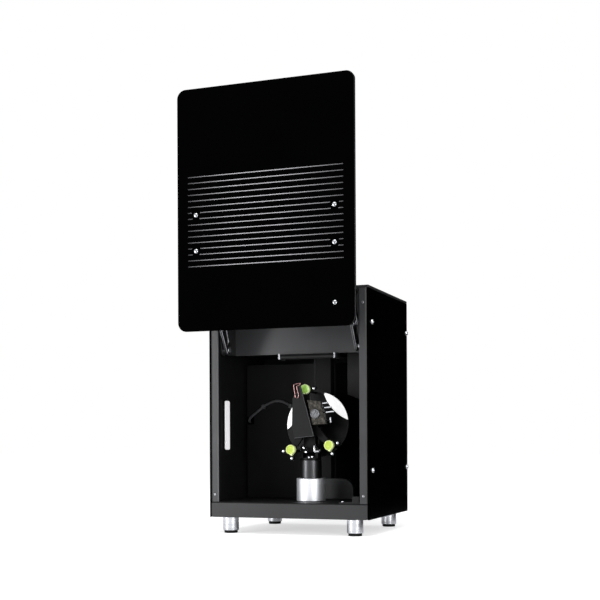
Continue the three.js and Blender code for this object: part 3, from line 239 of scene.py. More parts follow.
class Finish:
    """A Principled material, with short calls for the patterns that feed it."""

    def __init__(self, name, colour, rough, metal=0.0, specular=0.5):
        finishes[name] = bpy.data.materials.new(name)
        finishes[name].use_nodes = True
        self.tree = finishes[name].node_tree
        self.shader = self.tree.nodes["Principled BSDF"]
        self.set("Base Color", (*colour, 1))
        self.set("Roughness", rough)
        self.set("Metallic", metal)
        self.set("Specular IOR Level", specular)
        self.place = self.add("TexCoord", {}, "Object")
        self.height = None

    def set(self, socket, value):
        self.shader.inputs[socket].default_value = value

    def lead(self, source, socket):
        self.tree.links.new(source, self.shader.inputs[socket])

    def add(self, kind, inputs, result=0, **settings):
        return wired(self.tree, "ShaderNode" + kind, inputs, result, **settings)

    def stretched(self, scale, turn=(0, 0, 0)):
        return self.add("Mapping", {"Vector": self.place, "Rotation": turn, "Scale": scale})

    def noise(self, scale, detail=3.0, spot=None):
        return self.add("TexNoise", {"Vector": spot or self.place, "Scale": scale, "Detail": detail}, "Fac")

    def ramp(self, source, stops):
        made = self.add("ValToRGB", {"Fac": source}, "Color")
        band = made.node.color_ramp
        while len(band.elements) < len(stops):
            band.elements.new(1.0)
        for element, (at, colour) in zip(band.elements, stops):
            element.position, element.color = at, (*colour, 1)
        return made

    def span(self, source, low, high, start=0.0, end=1.0):
        """Stretches a source that runs from start to end over low to high."""
        return self.add("MapRange", {
            "Value": source, "From Min": start, "From Max": end, "To Min": low, "To Max": high}, "Result")

    def paint(self, source, stops):
        self.lead(self.ramp(source, stops), "Base Color")

    def polish(self, source, low, high):
        self.lead(self.span(source, low, high), "Roughness")

    def bump(self, source, depth, strength=1.0):
        inputs = {"Height": source, "Distance": depth, "Strength": strength}
        if self.height is not None:
            inputs["Normal"] = self.height
        self.height = self.add("Bump", inputs, "Normal")
        self.lead(self.height, "Normal")


def grey(level):
    """The linear colour of a picture level from 0 to 255."""
    share = level / 255
    value = share / 12.92 if share <= 0.04045 else ((share + 0.055) / 1.055) ** 2.4
    return (value * 0.98, value, value * 1.05)


print("mid grey in linear light:", [round(v, 3) for v in grey(128)])

# %% [markdown]
# ## Finishes
# The door is black lacquer, polished to a dark mirror. Its specular level is low, or a white room
# would lie on it as grey haze. A slow ripple of height gives the faint waviness of real lacquer, and
# fine dust roughens it unevenly.

# %% Black lacquer
def lacquer(name, level, rough, specular):
    made = Finish(name, grey(level), rough, specular=specular)
    made.polish(made.noise(140, 4), rough * 0.7, rough * 1.5)
    made.paint(made.noise(6, 2), [(0.3, grey(level * 0.7)), (0.7, grey(level * 1.2))])
    made.bump(made.noise(9, 1), 0.0006, 0.25)
    made.bump(made.noise(420, 2), 2e-5, 0.4)


lacquer("door_lacquer", 1, 0.07, 0.008)
lacquer("side_lacquer", 1, 0.12, 0.008)
# This paler lacquer is a painted highlight for the door's right edge.
lacquer("lacquer_painted_highlight", 34, 0.16, 0.2)
print("lacquers:", *finishes)

# %% [markdown]
# The sheet metal is powder coated. Powder melts into a skin with an even orange peel, so the bump is
# a small noise and the colour wanders only a little, from light grey outside to near black inside.

# %% Powder coat
def powder_coat(name, level, rough, specular=0.35):
    made = Finish(name, grey(level), rough, specular=specular)
    made.paint(made.noise(11, 3), [(0.25, grey(level * 0.93)), (0.75, grey(level * 1.07))])
    made.polish(made.noise(60, 3), rough * 0.88, rough * 1.12)
    made.bump(made.noise(1500, 2), 4e-5, 0.6)
    made.bump(made.noise(520, 2), 6e-5, 0.35)


for row in (
        # The second grey on the next line is a painted highlight for the left post's chamfer.
        ("post_grey", 56, 0.42), ("post_painted_highlight", 92, 0.34, 0.5), ("front_grey", 44, 0.45), ("fascia_grey", 64, 0.40),
        ("top_grey", 40, 0.42), ("chamber_black", 20, 0.50, 0.14), ("column_black", 14, 0.46, 0.1),
        # The next grey is a painted highlight for the column's front edge.
        ("column_painted_highlight", 52, 0.40, 0.4), ("backing_black", 14, 0.55, 0.1), ("cover_grey", 62, 0.48)):
    powder_coat(*row)
print("finishes so far:", len(finishes))

# %% [markdown]
# Turned aluminium carries hundreds of fine rings from the lathe tool, so the noise changes quickly
# along the height and hardly at all around. Anisotropy stretches every highlight across the rings.

# %% Turned metal
def turned_metal(name, level, rough):
    made = Finish(name, grey(level), rough, metal=1.0)
    rings = made.noise(1.0, 3, made.stretched((3, 3, 2600)))
    groove = tuple(0.76 * c for c in grey(level))
    made.paint(rings, [(0.3, groove), (0.7, grey(level))])
    made.polish(rings, rough * 0.75, rough * 1.3)
    made.bump(rings, 2e-5, 0.5)
    made.set("Anisotropic", 0.5)


turned_metal("foot_metal", 240, 0.24)
turned_metal("base_metal", 236, 0.42)
turned_metal("spindle_black", 72, 0.30)
print("finishes so far:", len(finishes))

# %% [markdown]
# Polished and plated steel covers the small hardware. It is nearly a mirror, broken only by fine
# scratches. Brass and copper are patchier in tone.

# %% Polished steel
def steel(name, level, rough, scratch=1.0):
    made = Finish(name, grey(level), rough, metal=1.0)
    fine = made.noise(1.0, 2, made.stretched((900, 120, 900)))
    made.polish(fine, rough * 0.7, rough * 1.4)
    made.paint(made.noise(90, 3), [(0.3, grey(level * 0.9)), (0.7, grey(min(255, level * 1.05)))])
    made.bump(fine, 1e-5 * scratch, 0.5)


for row in (
        ("bright_steel", 232, 0.16), ("screw_steel", 150, 0.24), ("stud_steel", 176, 0.11),
        ("arm_steel", 74, 0.36, 2.0), ("light_alloy", 205, 0.32, 1.5), ("zinc_sheet", 170, 0.42, 2.0)):
    steel(*row)
brass = Finish("contact_brass", (0.62, 0.42, 0.13), 0.28, metal=1.0)
brass.polish(brass.noise(300), 0.2, 0.4)
brass.paint(brass.noise(120), [(0.3, (0.52, 0.34, 0.1)), (0.7, (0.68, 0.47, 0.16))])
copper = Finish("copper_wire", (0.34, 0.20, 0.20), 0.3, metal=1.0)
copper.paint(copper.noise(180), [(0.3, (0.24, 0.125, 0.125)), (0.7, (0.42, 0.25, 0.245))])
copper.polish(copper.noise(700), 0.2, 0.38)
print("finishes so far:", len(finishes))

# %% [markdown]
# Moulded plastic has a fine grain from its tool and stays even in colour. Rubber is coarser, and a
# matt black anodised skin behaves like a plastic.

# %% Plastics, rubber and anodised black
def moulded(name, colour, rough, specular=0.45, grain=900, depth=3e-5, spread=0.1):
    made = Finish(name, colour, rough, specular=specular)
    low = tuple(c * (1 - spread) for c in colour)
    high = tuple(min(1.0, c * (1 + spread)) for c in colour)
    made.paint(made.noise(35), [(0.3, low), (0.7, high)])
    made.polish(made.noise(260), rough * 0.85, rough * 1.15)
    made.bump(made.noise(grain, 2), depth, 0.5)
    return made


for name, level, *rest in (
        ("matt_black", 12, 0.45, 0.25), ("anodised_black", 5, 0.42, 0.12, 1500, 2e-5),
        ("disc_black", 9, 0.30, 0.16, 1800, 1e-5), ("plate_graphite", 26, 0.55, 0.16, 1600, 2e-5, 0.05),
        ("housing_grey", 22, 0.5, 0.2), ("box_grey", 54, 0.42, 0.25), ("lamp_grey", 26, 0.42, 0.2),
        ("cable_rubber", 84, 0.30, 0.5, 700), ("foot_rubber", 20, 0.75, 0.2, 500, 6e-5), ("inlet_black", 26, 0.5)):
    moulded(name, grey(level), *rest)
print("finishes so far:", len(finishes))

# %% [markdown]
# The light panel is a lamp behind white plastic, so it glows a little of its own. The white plates on
# the disc are no lamp, yet they glow too: painted light. The stripes are enamel, full in the middle of
# the door and darker towards both ends: painted shade.

# %% Whites
# The white plates' glow is painted light; only the light panel is a lamp.
for name, colour, rough, glow, strength in (
        ("lit_diffuser", (0.92, 0.91, 0.93), 0.45, (1.0, 0.98, 1.0, 1), 0.42),
        ("white_plate", (0.93, 0.93, 0.93), 0.4, (1, 1, 1, 1), 0.72)):
    white = moulded(name, colour, rough, 0.4, 1200, 1e-5, 0.02)
    white.set("Emission Color", glow)
    white.set("Emission Strength", strength)
enamel = moulded("stripe_enamel", (0.2, 0.2, 0.21), 0.4, 0.1, 1500, 1e-5, 0.04)
across = enamel.span(enamel.add("SeparateXYZ", {"Vector": enamel.place}, "X"), 0, 1, -0.196, 0.2)
# The stripes' colour is painted shade: full in the middle of the door, darker towards both ends.
painted_shade_left, full, painted_shade_right = (0.05, 0.05, 0.055), (0.38, 0.38, 0.40), (0.07, 0.07, 0.075)
enamel.paint(across, [(0.0, painted_shade_left), (0.30, full), (0.6, full), (1.0, painted_shade_right)])
print("whites: 3")

# %% [markdown]
# The knobs are lime plastic, deeper in tone in the thick middle than at the rim. Each knob writes an
# attribute on its points, 0 at the rim and 1 inside, and the colour follows it. The upper knob has its
# own greener copy of the lime, as painted light; the two lower ones let a little light in.

# %% Lime plastic
def knob_plastic(name, colour, rim, ring, middle):
    made = Finish(name, colour, 0.34, specular=0.45)
    depth = made.add("Attribute", {}, "Fac", attribute_name="depth")
    cloud = made.span(made.noise(160, 3), -0.12, 0.12)
    blend = made.add("Math", {0: depth, 1: cloud}, operation="ADD")
    made.paint(blend, [(0.0, rim), (0.30, ring), (1.0, middle)])
    made.polish(made.noise(500), 0.28, 0.42)
    made.bump(made.noise(900, 2), 3e-5, 0.5)
    return made


lime = knob_plastic("lime_plastic", (0.46, 0.68, 0.10), (0.80, 0.88, 0.46), (0.64, 0.76, 0.18), (0.52, 0.66, 0.09))
lime.set("Subsurface Weight", 0.15)
lime.set("Subsurface Radius", (0.004, 0.004, 0.0015))
# This greener copy of the lime is painted light on the upper knob.
knob_plastic("lime_painted_light", (0.30, 0.62, 0.06), (0.80, 0.95, 0.50), (0.62, 0.86, 0.28), (0.38, 0.70, 0.12))
print("both knob plastics read the attribute 'depth'")

# %% [markdown]
# The hub block is bare bronze-grey metal with the scars of a coarse mill: patchy tone, deep noise and
# a few directional cuts. The control board is green, with tracks like brickwork.

# %% Milled bronze, circuit board
bronze = Finish("milled_bronze", (0.12, 0.11, 0.09), 0.46, metal=0.75)
patches = bronze.noise(170, 6)
cuts = bronze.noise(1.0, 4, bronze.stretched((900, 900, 120), (0, 0.5, 0)))
bronze.paint(patches, [(0.32, (0.010, 0.009, 0.007)), (0.52, (0.034, 0.031, 0.026)), (0.72, (0.095, 0.088, 0.075))])
bronze.polish(patches, 0.34, 0.6)
bronze.bump(cuts, 0.0002, 0.5)
bronze.bump(patches, 0.0005, 0.5)
board = Finish("green_board", (0.02, 0.10, 0.05), 0.4, specular=0.5)
tracks = board.add("TexBrick", {
    "Vector": board.stretched((90, 90, 60), (math.pi / 2, 0, 0)), "Scale": 1.0, "Color1": (0.012, 0.07, 0.035, 1),
    "Color2": (0.02, 0.12, 0.06, 1), "Mortar": (0.10, 0.30, 0.14, 1), "Mortar Size": 0.03}, "Color")
board.lead(tracks, "Base Color")
board.bump(tracks.node.outputs["Fac"], 5e-5, 0.6)
print("milled bronze and board ready")

# %% [markdown]
# ## Ways of making a piece
# Most sheet-metal nodes already have the right form, but a CAD edge is perfectly sharp and catches no
# light. `soft_copy` copies such a node, merges its loose triangles, rounds the edges with a narrow
# Bevel, lets Weighted Normal keep the flat faces flat, and makes the result a plain mesh.

# %% Softened copies
def plain(thing, name, finish):
    """An object with its modifiers applied, in place of the old one."""
    shape = bpy.data.meshes.new_from_object(thing.evaluated_get(bpy.context.evaluated_depsgraph_get()))
    shape.name = name
    old = thing.data
    bpy.data.objects.remove(thing)
    bpy.data.meshes.remove(old)
    if finish:
        shape.materials.clear()
        shape.materials.append(finishes[finish])
    return linked(name, shape)


def rounded(shape, name, finish, width, steps=2):
    """An object whose edges sharper than 30 degrees are rounded."""
    thing = linked(name + "_raw", shape)
    shape.shade_smooth()
    if width:
        edge = thing.modifiers.new("edge", "BEVEL")
        edge.width = width
        edge.segments = steps
        edge.limit_method = "ANGLE"
        edge.angle_limit = math.radians(30)
        edge.use_clamp_overlap = False
        edge.miter_outer = "MITER_ARC"
    even = thing.modifiers.new("even", "WEIGHTED_NORMAL")
    even.weight = 100
    even.keep_sharp = True
    return plain(thing, name, finish)


def as_mesh(work, name):
    shape = bpy.data.meshes.new(name)
    work.to_mesh(shape)
    work.free()
    return shape


def soft_copy(node, finish, width=0.0005, steps=2):
    weld, flat = 1e-6, math.radians(0.6)
    work = bmesh.new()
    work.from_mesh(frame["nodes"][node].data)
    bmesh.ops.remove_doubles(work, verts=work.verts, dist=weld)
    bmesh.ops.dissolve_limit(work, angle_limit=flat, verts=work.verts, edges=work.edges)
    return stand_for(rounded(as_mesh(work, node), node + "_skin", finish, width, steps), node)


def repaint(piece, finish, chosen):
    """Gives a second finish to the faces that pass a test."""
    piece.data.materials.append(finishes[finish])
    picked = [face for face in piece.data.polygons if chosen(face)]
    for face in picked:
        face.material_index = len(piece.data.materials) - 1
    print(piece.name, "has", len(picked), "faces in", finish)


# %% [markdown]
# Round and rounded pieces are stacked from rings: outlines with the same number of points, skinned one
# to the next and closed at both ends. A lathe profile is the same thing with circles for outlines.

# %% Stacked rings
def dome(radius, low, rise, power, shares):
    """Rings that close over a rounded head."""
    steps = [polar(1, share * math.pi / 2) for share in shares]
    return [circle(radius * across ** power, low + rise * up) for across, up in steps]


def creased(shape, angle):
    """Smooth shading with sharp edges above the angle."""
    shape.shade_smooth()
    shape.set_sharp_from_angle(angle=math.radians(angle))
    return shape


def stacked(name, rings, finish, soft_edges=0.0, sharp=50):
    work = bmesh.new()
    rows = [[work.verts.new(point) for point in ring] for ring in rings]
    count = len(rows[0])
    for low, high in zip(rows, rows[1:]):
        for i in range(count):
            j = (i + 1) % count
            work.faces.new((low[i], low[j], high[j], high[i]))
    work.faces.new(rows[0][::-1])
    work.faces.new(rows[-1])
    bmesh.ops.recalc_face_normals(work, faces=work.faces)
    return rounded(creased(as_mesh(work, name), sharp), name, finish, soft_edges)


def circle(radius, height, sides=48, place=Matrix()):
    """A ring in millimetres about the Z axis of a place."""
    return [place @ Vector((*polar(radius / 1000, 2 * math.pi * i / sides), height / 1000)) for i in range(sides)]


def turned(name, profile, place, finish, sides=64):
    """A lathe profile, pairs of radius and height in millimetres."""
    return stacked(name, [circle(r, z, sides, place) for r, z in profile], finish)


def edge_profile(radius, low, high, edge):
    """The outline of a round bar whose two rims are rounded."""
    soft = edge * 0.3
    return [(radius - edge, low), (radius - soft, low + soft), (radius, low + edge),
            (radius, high - edge), (radius - soft, high - soft), (radius - edge, high)]


def rounded_rectangle(half_width, half_height, corner, steps=12):
    points = []
    for cx, cz, start in ((1, -1, -90), (1, 1, 0), (-1, 1, 90), (-1, -1, 180)):
        for i in range(steps + 1):
            x, z = polar(corner, math.radians(start + 90 * i / steps))
            points.append((cx * (half_width - corner) + x, cz * (half_height - corner) + z))
    return points


def slab(name, half_width, half_height, corner, depth, edge, place, finish, steps=12):
    """A plate with an outline in X and Z of a place, thickness along Y, and both rims eased."""
    soft = edge * 0.3
    rings = []
    for inset, y in ((edge, 0), (soft, soft), (0, edge), (0, depth - edge), (soft, depth - soft), (edge, depth)):
        outline = rounded_rectangle(half_width - inset, half_height - inset, max(corner - inset, 0.05), steps)
        rings.append([place @ (Vector((x, y, z)) / 1000) for x, z in outline])
    return stacked(name, rings, finish)


print("outlines: circle, lathe profile, rounded rectangle")

# %% [markdown]
# Geometry Nodes make whatever repeats or follows a path. `Recipe` builds a tree with named inputs,
# runs it on a small mesh, and makes the result a plain mesh, because the export wants real faces and
# no instances.

# %% Geometry Nodes helper
class Recipe:
    """A Geometry Nodes tree; each named input takes its type from its default."""

    kinds = {float: "Float", int: "Int", tuple: "Vector", type(None): "Object"}

    def __init__(self, name, **inputs):
        self.tree = bpy.data.node_groups.new(name, "GeometryNodeTree")
        self.names = {}
        self.take("Geometry", "Geometry")
        for label, default in inputs.items():
            self.take(label, self.kinds[type(default)], default)
        self.take("Finish", "Material")
        self.tree.interface.new_socket("Geometry", in_out="OUTPUT", socket_type="NodeSocketGeometry")
        self.start = self.tree.nodes.new("NodeGroupInput")
        self.end = self.tree.nodes.new("NodeGroupOutput")

    def take(self, label, kind, default=None):
        made = self.tree.interface.new_socket(label, in_out="INPUT", socket_type="NodeSocket" + kind)
        if default is not None:
            made.default_value = default
        self.names[label] = made.identifier

    def __getitem__(self, label):
        return self.start.outputs[label]

    def add(self, kind, inputs, result=0, family="GeometryNode", **settings):
        return wired(self.tree, family + kind, inputs, result, **settings)

    def close(self, geometry):
        real = self.add("RealizeInstances", {"Geometry": geometry})
        painted = self.add("SetMaterial", {"Geometry": real, "Material": self["Finish"]})
        self.tree.links.new(painted, self.end.inputs[0])

    def run(self, name, shape, finish, **values):
        thing = linked(name + "_base", shape)
        step = thing.modifiers.new("recipe", "NODES")
        step.node_group = self.tree
        step[self.names["Finish"]] = finishes[finish]
        for label, value in values.items():
            step[self.names[label]] = value
        made = plain(thing, name, finish)
        print(name, "has", len(made.data.polygons), "faces")
        return made


def points_mesh(name, points, route=False):
    shape = bpy.data.meshes.new(name)
    edges = [(i, i + 1) for i in range(len(points) - 1)] if route else []
    shape.from_pydata([tuple(p) for p in points], edges, [])
    return shape


# %% [markdown]
# Two trees do most of the work. One puts a fastener on every point of a mesh, the other sweeps a
# round section along a route.

# %% Trees for fasteners and for wires
fasteners = Recipe("fasteners_on_points", Fastener=None, Turn=(0, 0, 0))
held = fasteners.add(
    "ObjectInfo", {"Object": fasteners["Fastener"], "As Instance": True}, "Geometry", transform_space="ORIGINAL")
turn = fasteners.add("EulerToRotation", {"Euler": fasteners["Turn"]}, family="FunctionNode")
points = fasteners["Geometry"]
fasteners.close(fasteners.add("InstanceOnPoints", {"Points": points, "Instance": held, "Rotation": turn}))

wires = Recipe("wire_on_route", Radius=0.002, Steps=160, Sides=14)
curve = wires.add("MeshToCurve", {"Mesh": wires["Geometry"]})
smooth = wires.add("CurveSplineType", {"Curve": curve}, spline_type="CATMULL_ROM")
fine = wires.add("ResampleCurve", {"Curve": smooth, "Count": wires["Steps"]})
section = wires.add("CurvePrimitiveCircle", {"Resolution": wires["Sides"], "Radius": wires["Radius"]})
wires.close(wires.add("CurveToMesh", {"Curve": fine, "Profile Curve": section, "Fill Caps": True}))
UPWARD, FORWARD = (0, 0, 0), (math.pi / 2, 0, 0)


def fastened(name, part, points, turn, finish):
    """One fastener on every point; the pattern object goes."""
    made = fasteners.run(name, points_mesh(name, points), finish, Fastener=part, Turn=turn)
    bpy.data.objects.remove(part)
    creased(made.data, 38)
    return made


def wire(name, route, finish, **values):
    made = wires.run(name, points_mesh(name, route, True), finish, **values)
    creased(made.data, 60)
    return made


print("trees:", [group.name for group in bpy.data.node_groups])

# %% [markdown]
# ## Cabinet
# The shell is folded sheet: base pan, floor, top panel, and the shelf and fascia of the upper bay.
# Each gets a softened copy of its CAD node. Right of the column the chamber's back wall lies in shade,
# as in the photograph, and that shade is painted into its finish, which turns darker and duller along
# X. The cable's clips on it are rubber grey.

# %% Sheet metal of the cabinet
soft_copy("top_panel", "top_grey", 0.0012, 3)
soft_copy("base_pan", "front_grey", 0.0006)
soft_copy("chamber_floor", "chamber_black")
dim = Finish("wall_black_painted_shade", grey(20), 0.50, specular=0.12)
side_way = dim.add("SeparateXYZ", {"Vector": dim.place}, "X")
dark_from, dark_to, clip_front = 0.044, 0.054, 0.1129
shade = dim.span(side_way, 0, 1, dark_from, dark_to)
cloudy = dim.ramp(dim.noise(11, 3), [(0.25, grey(20)), (0.75, grey(24))])
# Right of the column the colour mixes to near black and the specular level drops: painted shade.
deep = dim.add("Mix", {0: shade, 6: cloudy, 7: (0.0006, 0.0006, 0.0007, 1)}, 2, data_type="RGBA")
dim.lead(deep, "Base Color")
dim.lead(dim.span(side_way, 0.12, 0.004, dark_from, dark_to), "Specular IOR Level")
dim.polish(dim.noise(60, 3), 0.44, 0.56)
dim.bump(dim.noise(1500, 2), 4e-5, 0.6)
repaint(soft_copy("chamber_back", "wall_black_painted_shade", 0.0004), "cable_rubber", lambda face: face.center.y < clip_front)
soft_copy("optics_shelf", "chamber_black", 0.0004)
soft_copy("upper_fascia", "fascia_grey")
print("cabinet sheets: 6")

# %% [markdown]
# A side panel is one lacquered sheet on four button-head bolts. The sheet is a slab stood on its
# edge. One bolt is drawn, hexagon socket and all, and a tree puts it wherever a bolt sits.

# %% Side panels and their bolts
def hexagon(across, height, sides=48):
    ring = []
    for i in range(sides):
        angle = 2 * math.pi * i / sides
        reach = across / math.cos((angle + math.pi / 6) % (math.pi / 3) - math.pi / 6)
        ring.append(Vector((*polar(reach, angle), height)) / 1000)
    return ring


def button_bolt(name, radius, height, socket, shank, length):
    """A domed head towards +Z with a hexagon socket, its seat at height zero."""
    rings = [circle(shank, -length), circle(shank, 0), circle(radius * 0.96, 0), circle(radius, height * 0.12)]
    for share in (0.35, 0.6, 0.8, 0.93):
        rise = 0.12 + 0.88 * math.sin(share * math.pi / 2)
        rings.append(circle(radius * math.cos(share * 1.05) ** 0.8, height * rise))
    rings += [circle(socket * 1.3, height), hexagon(socket, height * 0.93), hexagon(socket, height * 0.4),
              hexagon(socket * 0.5, height * 0.3)]
    return stacked(name, rings, None)


for side, name in SIDES:
    place = shifted(side * 205.5, 183, 321.15, rotated(-90 * side, "Z"))
    sheet = slab(name + "_side_sheet", 183, 280.15, 1.2, 4.5, 0.7, place, "side_lacquer", 4)
    stand_for(sheet, name + "_side_panel")
    if name == "left":
        repaint(sheet, "chamber_black", lambda face: face.normal.x > 0.9)
for side, name in SIDES:
    bolt = button_bolt("side_bolt", 6.2, 4, 2.0, 3, 3)
    spots = [mm(side * 210, y, z) for y in (30, 357) for z in (160.5, 521)]
    outward = (0, side * math.pi / 2, 0)
    settle(fastened(name + "_side_bolts", bolt, spots, outward, "bright_steel"), "cabinet", "bright_steel")

# %% [markdown]
# The front posts are folded channels with chamfered corners, each held by two screws. The outline is
# drawn once and stretched upwards; the other post is its mirror image.

# %% Front posts
inner, outer, wall = 185.5, 205.2, 2.5
for side, name in SIDES:
    outline = [(inner, 1.6), (inner + 3, 0), (outer - 3.4, 0), (outer, 1.8), (outer, 18), (outer - wall, 18),
               (outer - wall, wall), (inner + wall, wall), (inner + wall, 18), (inner, 18)]
    rings = [[mm(side * x, y, z) for x, y in outline] for z in (79.6, 601.3)]
    channel = stand_for(stacked(name + "_post", rings, "post_grey", 0.0006, 20), name + "_front_post")
    # Each post's inner side faces take the dark chamber finish: painted shade.
    repaint(channel, "chamber_black", lambda face: side * face.normal.x < -0.9)
    # Each post's right-facing chamfer is painted: paler on the left post, a painted highlight, and in the darker front
    # grey on the right post, painted shade.
    fold = "post_painted_highlight" if name == "left" else "front_grey"
    repaint(channel, fold, lambda face: 0.2 < face.normal.x < 0.8 and face.normal.y < -0.5)
    screw = button_bolt("post_screw", 3.6, 1.6, 1.3, 1.6, 2)
    spots = [mm(side * 195.5, 0, z) for z in (98, 565.7)]
    settle(fastened(name + "_post_screws", screw, spots, FORWARD, "screw_steel"), "cabinet", "bright_steel")

# %% [markdown]
# Each foot is a turned aluminium barrel with a rubber ring under it. Both are lathe profiles, set on
# four points by the same tree as the bolts.

# %% Feet
foot_spots = [mm(x, y, 0) for x in (-165, 165) for y in (30, 336)]
feet = "front_left_foot", "back_left_foot", "front_right_foot", "back_right_foot"
profile = [(8, 6.4), (16.8, 6.4), (17.2, 7)] + edge_profile(20, 7, 40.7, 1.0) + [(8, 40.7)]
barrel = turned("foot_barrel", profile, Matrix(), None)
settle(fastened("foot_barrels", barrel, foot_spots, UPWARD, "foot_metal"), "cabinet", "bright_aluminium", *feet)
ring = turned("foot_ring", [(6, 0.4), (15.6, 0), (16.6, 0.4), (17, 1.2), (17, 6.4), (6, 6.8)], Matrix(), None)
settle(fastened("foot_rubbers", ring, foot_spots, UPWARD, "foot_rubber"), "cabinet", "grey_rubber")

# %% [markdown]
# ## Inside the chamber
# On the back wall sit a low box with one round corner, a column, and a cable that rises in an arch and
# ends in the column's gland. It is clipped, so it is a fixed wire and not a free cord, swept along the
# same route as in the CAD model.

# %% Back wall: box, column and cable
corner = [(78 + 30 * math.sin(math.radians(a)), 103.2 + 30 * math.cos(math.radians(a))) for a in range(90, -1, -6)]
outline = [(5, 79.6), (108, 79.6)] + corner + [(5, 133.2)]
rings = [[mm(x, y, z) for x, z in outline] for y in (221.7, 200.0)]
stand_for(stacked("junction_cover", rings, "box_grey", 0.0012, 30), "junction_box")
lit_edge = soft_copy("cable_column", "column_black", 0.0006)
# High on the column, the faces of its front-left edge take a paler finish: a painted highlight.
repaint(lit_edge, "column_painted_highlight", lambda face: max(face.normal.x, face.normal.y) < -0.3 and face.center.z > 0.2)

end_x, wall_half = -12.8, 200.0
shares = [0.016, 0.022, 0.065, 0.185, 0.326, 0.456, 0.586, 0.706, 0.814]
heights = [283, 286, 295, 313, 331, 339, 335, 322, 309]
depths = [238, 227.5] + [218.2] * 7
route = [mm(-wall_half + (end_x + wall_half) * s, y, z) for s, y, z in zip(shares, depths, heights)]
route += [mm(end_x - 14, 218.2, 303), mm(end_x, 218.2, 303)]
stand_for(wire("grey_cable", route, "cable_rubber", Radius=0.0035, Sides=20), "sensor_cable")

# %% [markdown]
# At the upper right hangs a camera housing with a dark glass dome deep in its ring, under the fascia
# a bar lamp with two bright end blocks, and on the left wall a tall light panel.

# %% Camera housing, lamp and light panel
soft_copy("camera_housing", "housing_grey", 0.0012, 3)
glass = Finish("lens_glass", (0.012, 0.012, 0.02), 0.04, specular=0.7)
glass.paint(glass.noise(60, 2), [(0.3, (0.01, 0.01, 0.02)), (0.7, (0.04, 0.025, 0.07))])
glass.polish(glass.noise(40), 0.03, 0.06)
reach, bulge = 8.1, 3
steps = [polar(1, step / 12 * math.pi / 2) for step in range(1, 12)]
profile = [(reach, 0)] + [(reach * across, bulge * up) for across, up in steps]
place = shifted(140, 195.6, 399, rotated(90, "X"))
along_with(turned("camera_lens", profile, place, "lens_glass", 48), "camera_housing")

lamp_middle, lamp_half = 0.025, 0.0715
repaint(soft_copy("bar_lamp", "lamp_grey"), "zinc_sheet", lambda face: abs(face.center.x - lamp_middle) > lamp_half)

for name, finish, node, inset, corner, edge, x in (
        ("panel_frame", "matt_black", "light_panel_housing", 0, 7, 0.4, -205.2),
        ("panel_diffuser", "lit_diffuser", "light_panel_diffuser", 2, 5, 0.9, -201.9)):
    place = shifted(x, 89.5, 273.5, rotated(-90, "Z"))
    stand_for(slab(name, 15.5 - inset, 65.5 - inset, corner, 3, edge, place, finish), node)

# %% [markdown]
# ## Lift
# Two cheek plates carry the fixed pivots. From each, a wide lift arm and a slim control arm reach up
# to the door's bracket. The four pivots of a side form a parallelogram, so the door stays upright.
# The narrow faces of the arms' rounded edges are painted pale alloy: a painted highlight.

# %% Cheek plates, arms and brackets
cheek_pivots = ((-0.077606, 0.464), (-0.093593, 0.519753))
door_pivots = ((-0.210085, 0.676012), (-0.226072, 0.731765))
inner_face, pin_reach = 0.1814, 0.009


def on_pin(face, side, pivots):
    return side * face.center.x < inner_face and any(
        math.hypot(face.center.y - y, face.center.z - z) < pin_reach for y, z in pivots)


for side, name in SIDES:
    for kind, finish, width, pivots in (
            ("_cheek_plate", "top_grey", 0.0005, cheek_pivots), ("_door_bracket", "arm_steel", 0.0004, door_pivots)):
        repaint(soft_copy(name + kind, finish, width), "bright_steel", lambda face: on_pin(face, side, pivots))
    for kind in ("_lift_arm", "_control_arm"):
        arm = soft_copy(name + kind, "arm_steel", 0.001)
        # The arm's rounded edge faces take the pale alloy as a painted highlight.
        repaint(arm, "light_alloy", lambda face: 0.15 < abs(face.normal.x) < 0.97)

# %% [markdown]
# ## Door
# The door is one lacquered panel in front of a black backing. Its round corners get many steps,
# because the reflection of the room runs round them.

# %% Door panel and backing
low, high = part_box("door_panel")
middle = (low.z + high.z) / 2
width, depth, height = (high - low) * 1000
beyond = 0.9
place = Matrix.Translation((0, low.y, middle))
panel_skin = slab("door_skin", width / 2 + beyond, height / 2, 22, depth, 1.4, place, "door_lacquer", 20)
stand_for(panel_skin, "door_panel")
# The bevel along the door's right edge takes the paler lacquer: a painted highlight.
repaint(panel_skin, "lacquer_painted_highlight", lambda face: face.normal.x > 0.25 and face.normal.y < -0.25)
rear_sheet = soft_copy("door_backing", "backing_black")
for point in rear_sheet.data.vertices:
    for axis, start, reach in ((0, 0, 0.2), (2, middle, 0.24)):
        off = point.co[axis] - start
        if abs(off) > reach:
            point.co[axis] += math.copysign(min(0.004, abs(off) - reach), off)
print("door is", round(width), "by", round(height), "mm")

# %% [markdown]
# Sixteen fine white lines cross the door and break off around each stud. The tree lays them out as
# rows of points, deletes the points too near a stud, and sweeps a flat section along what is left.

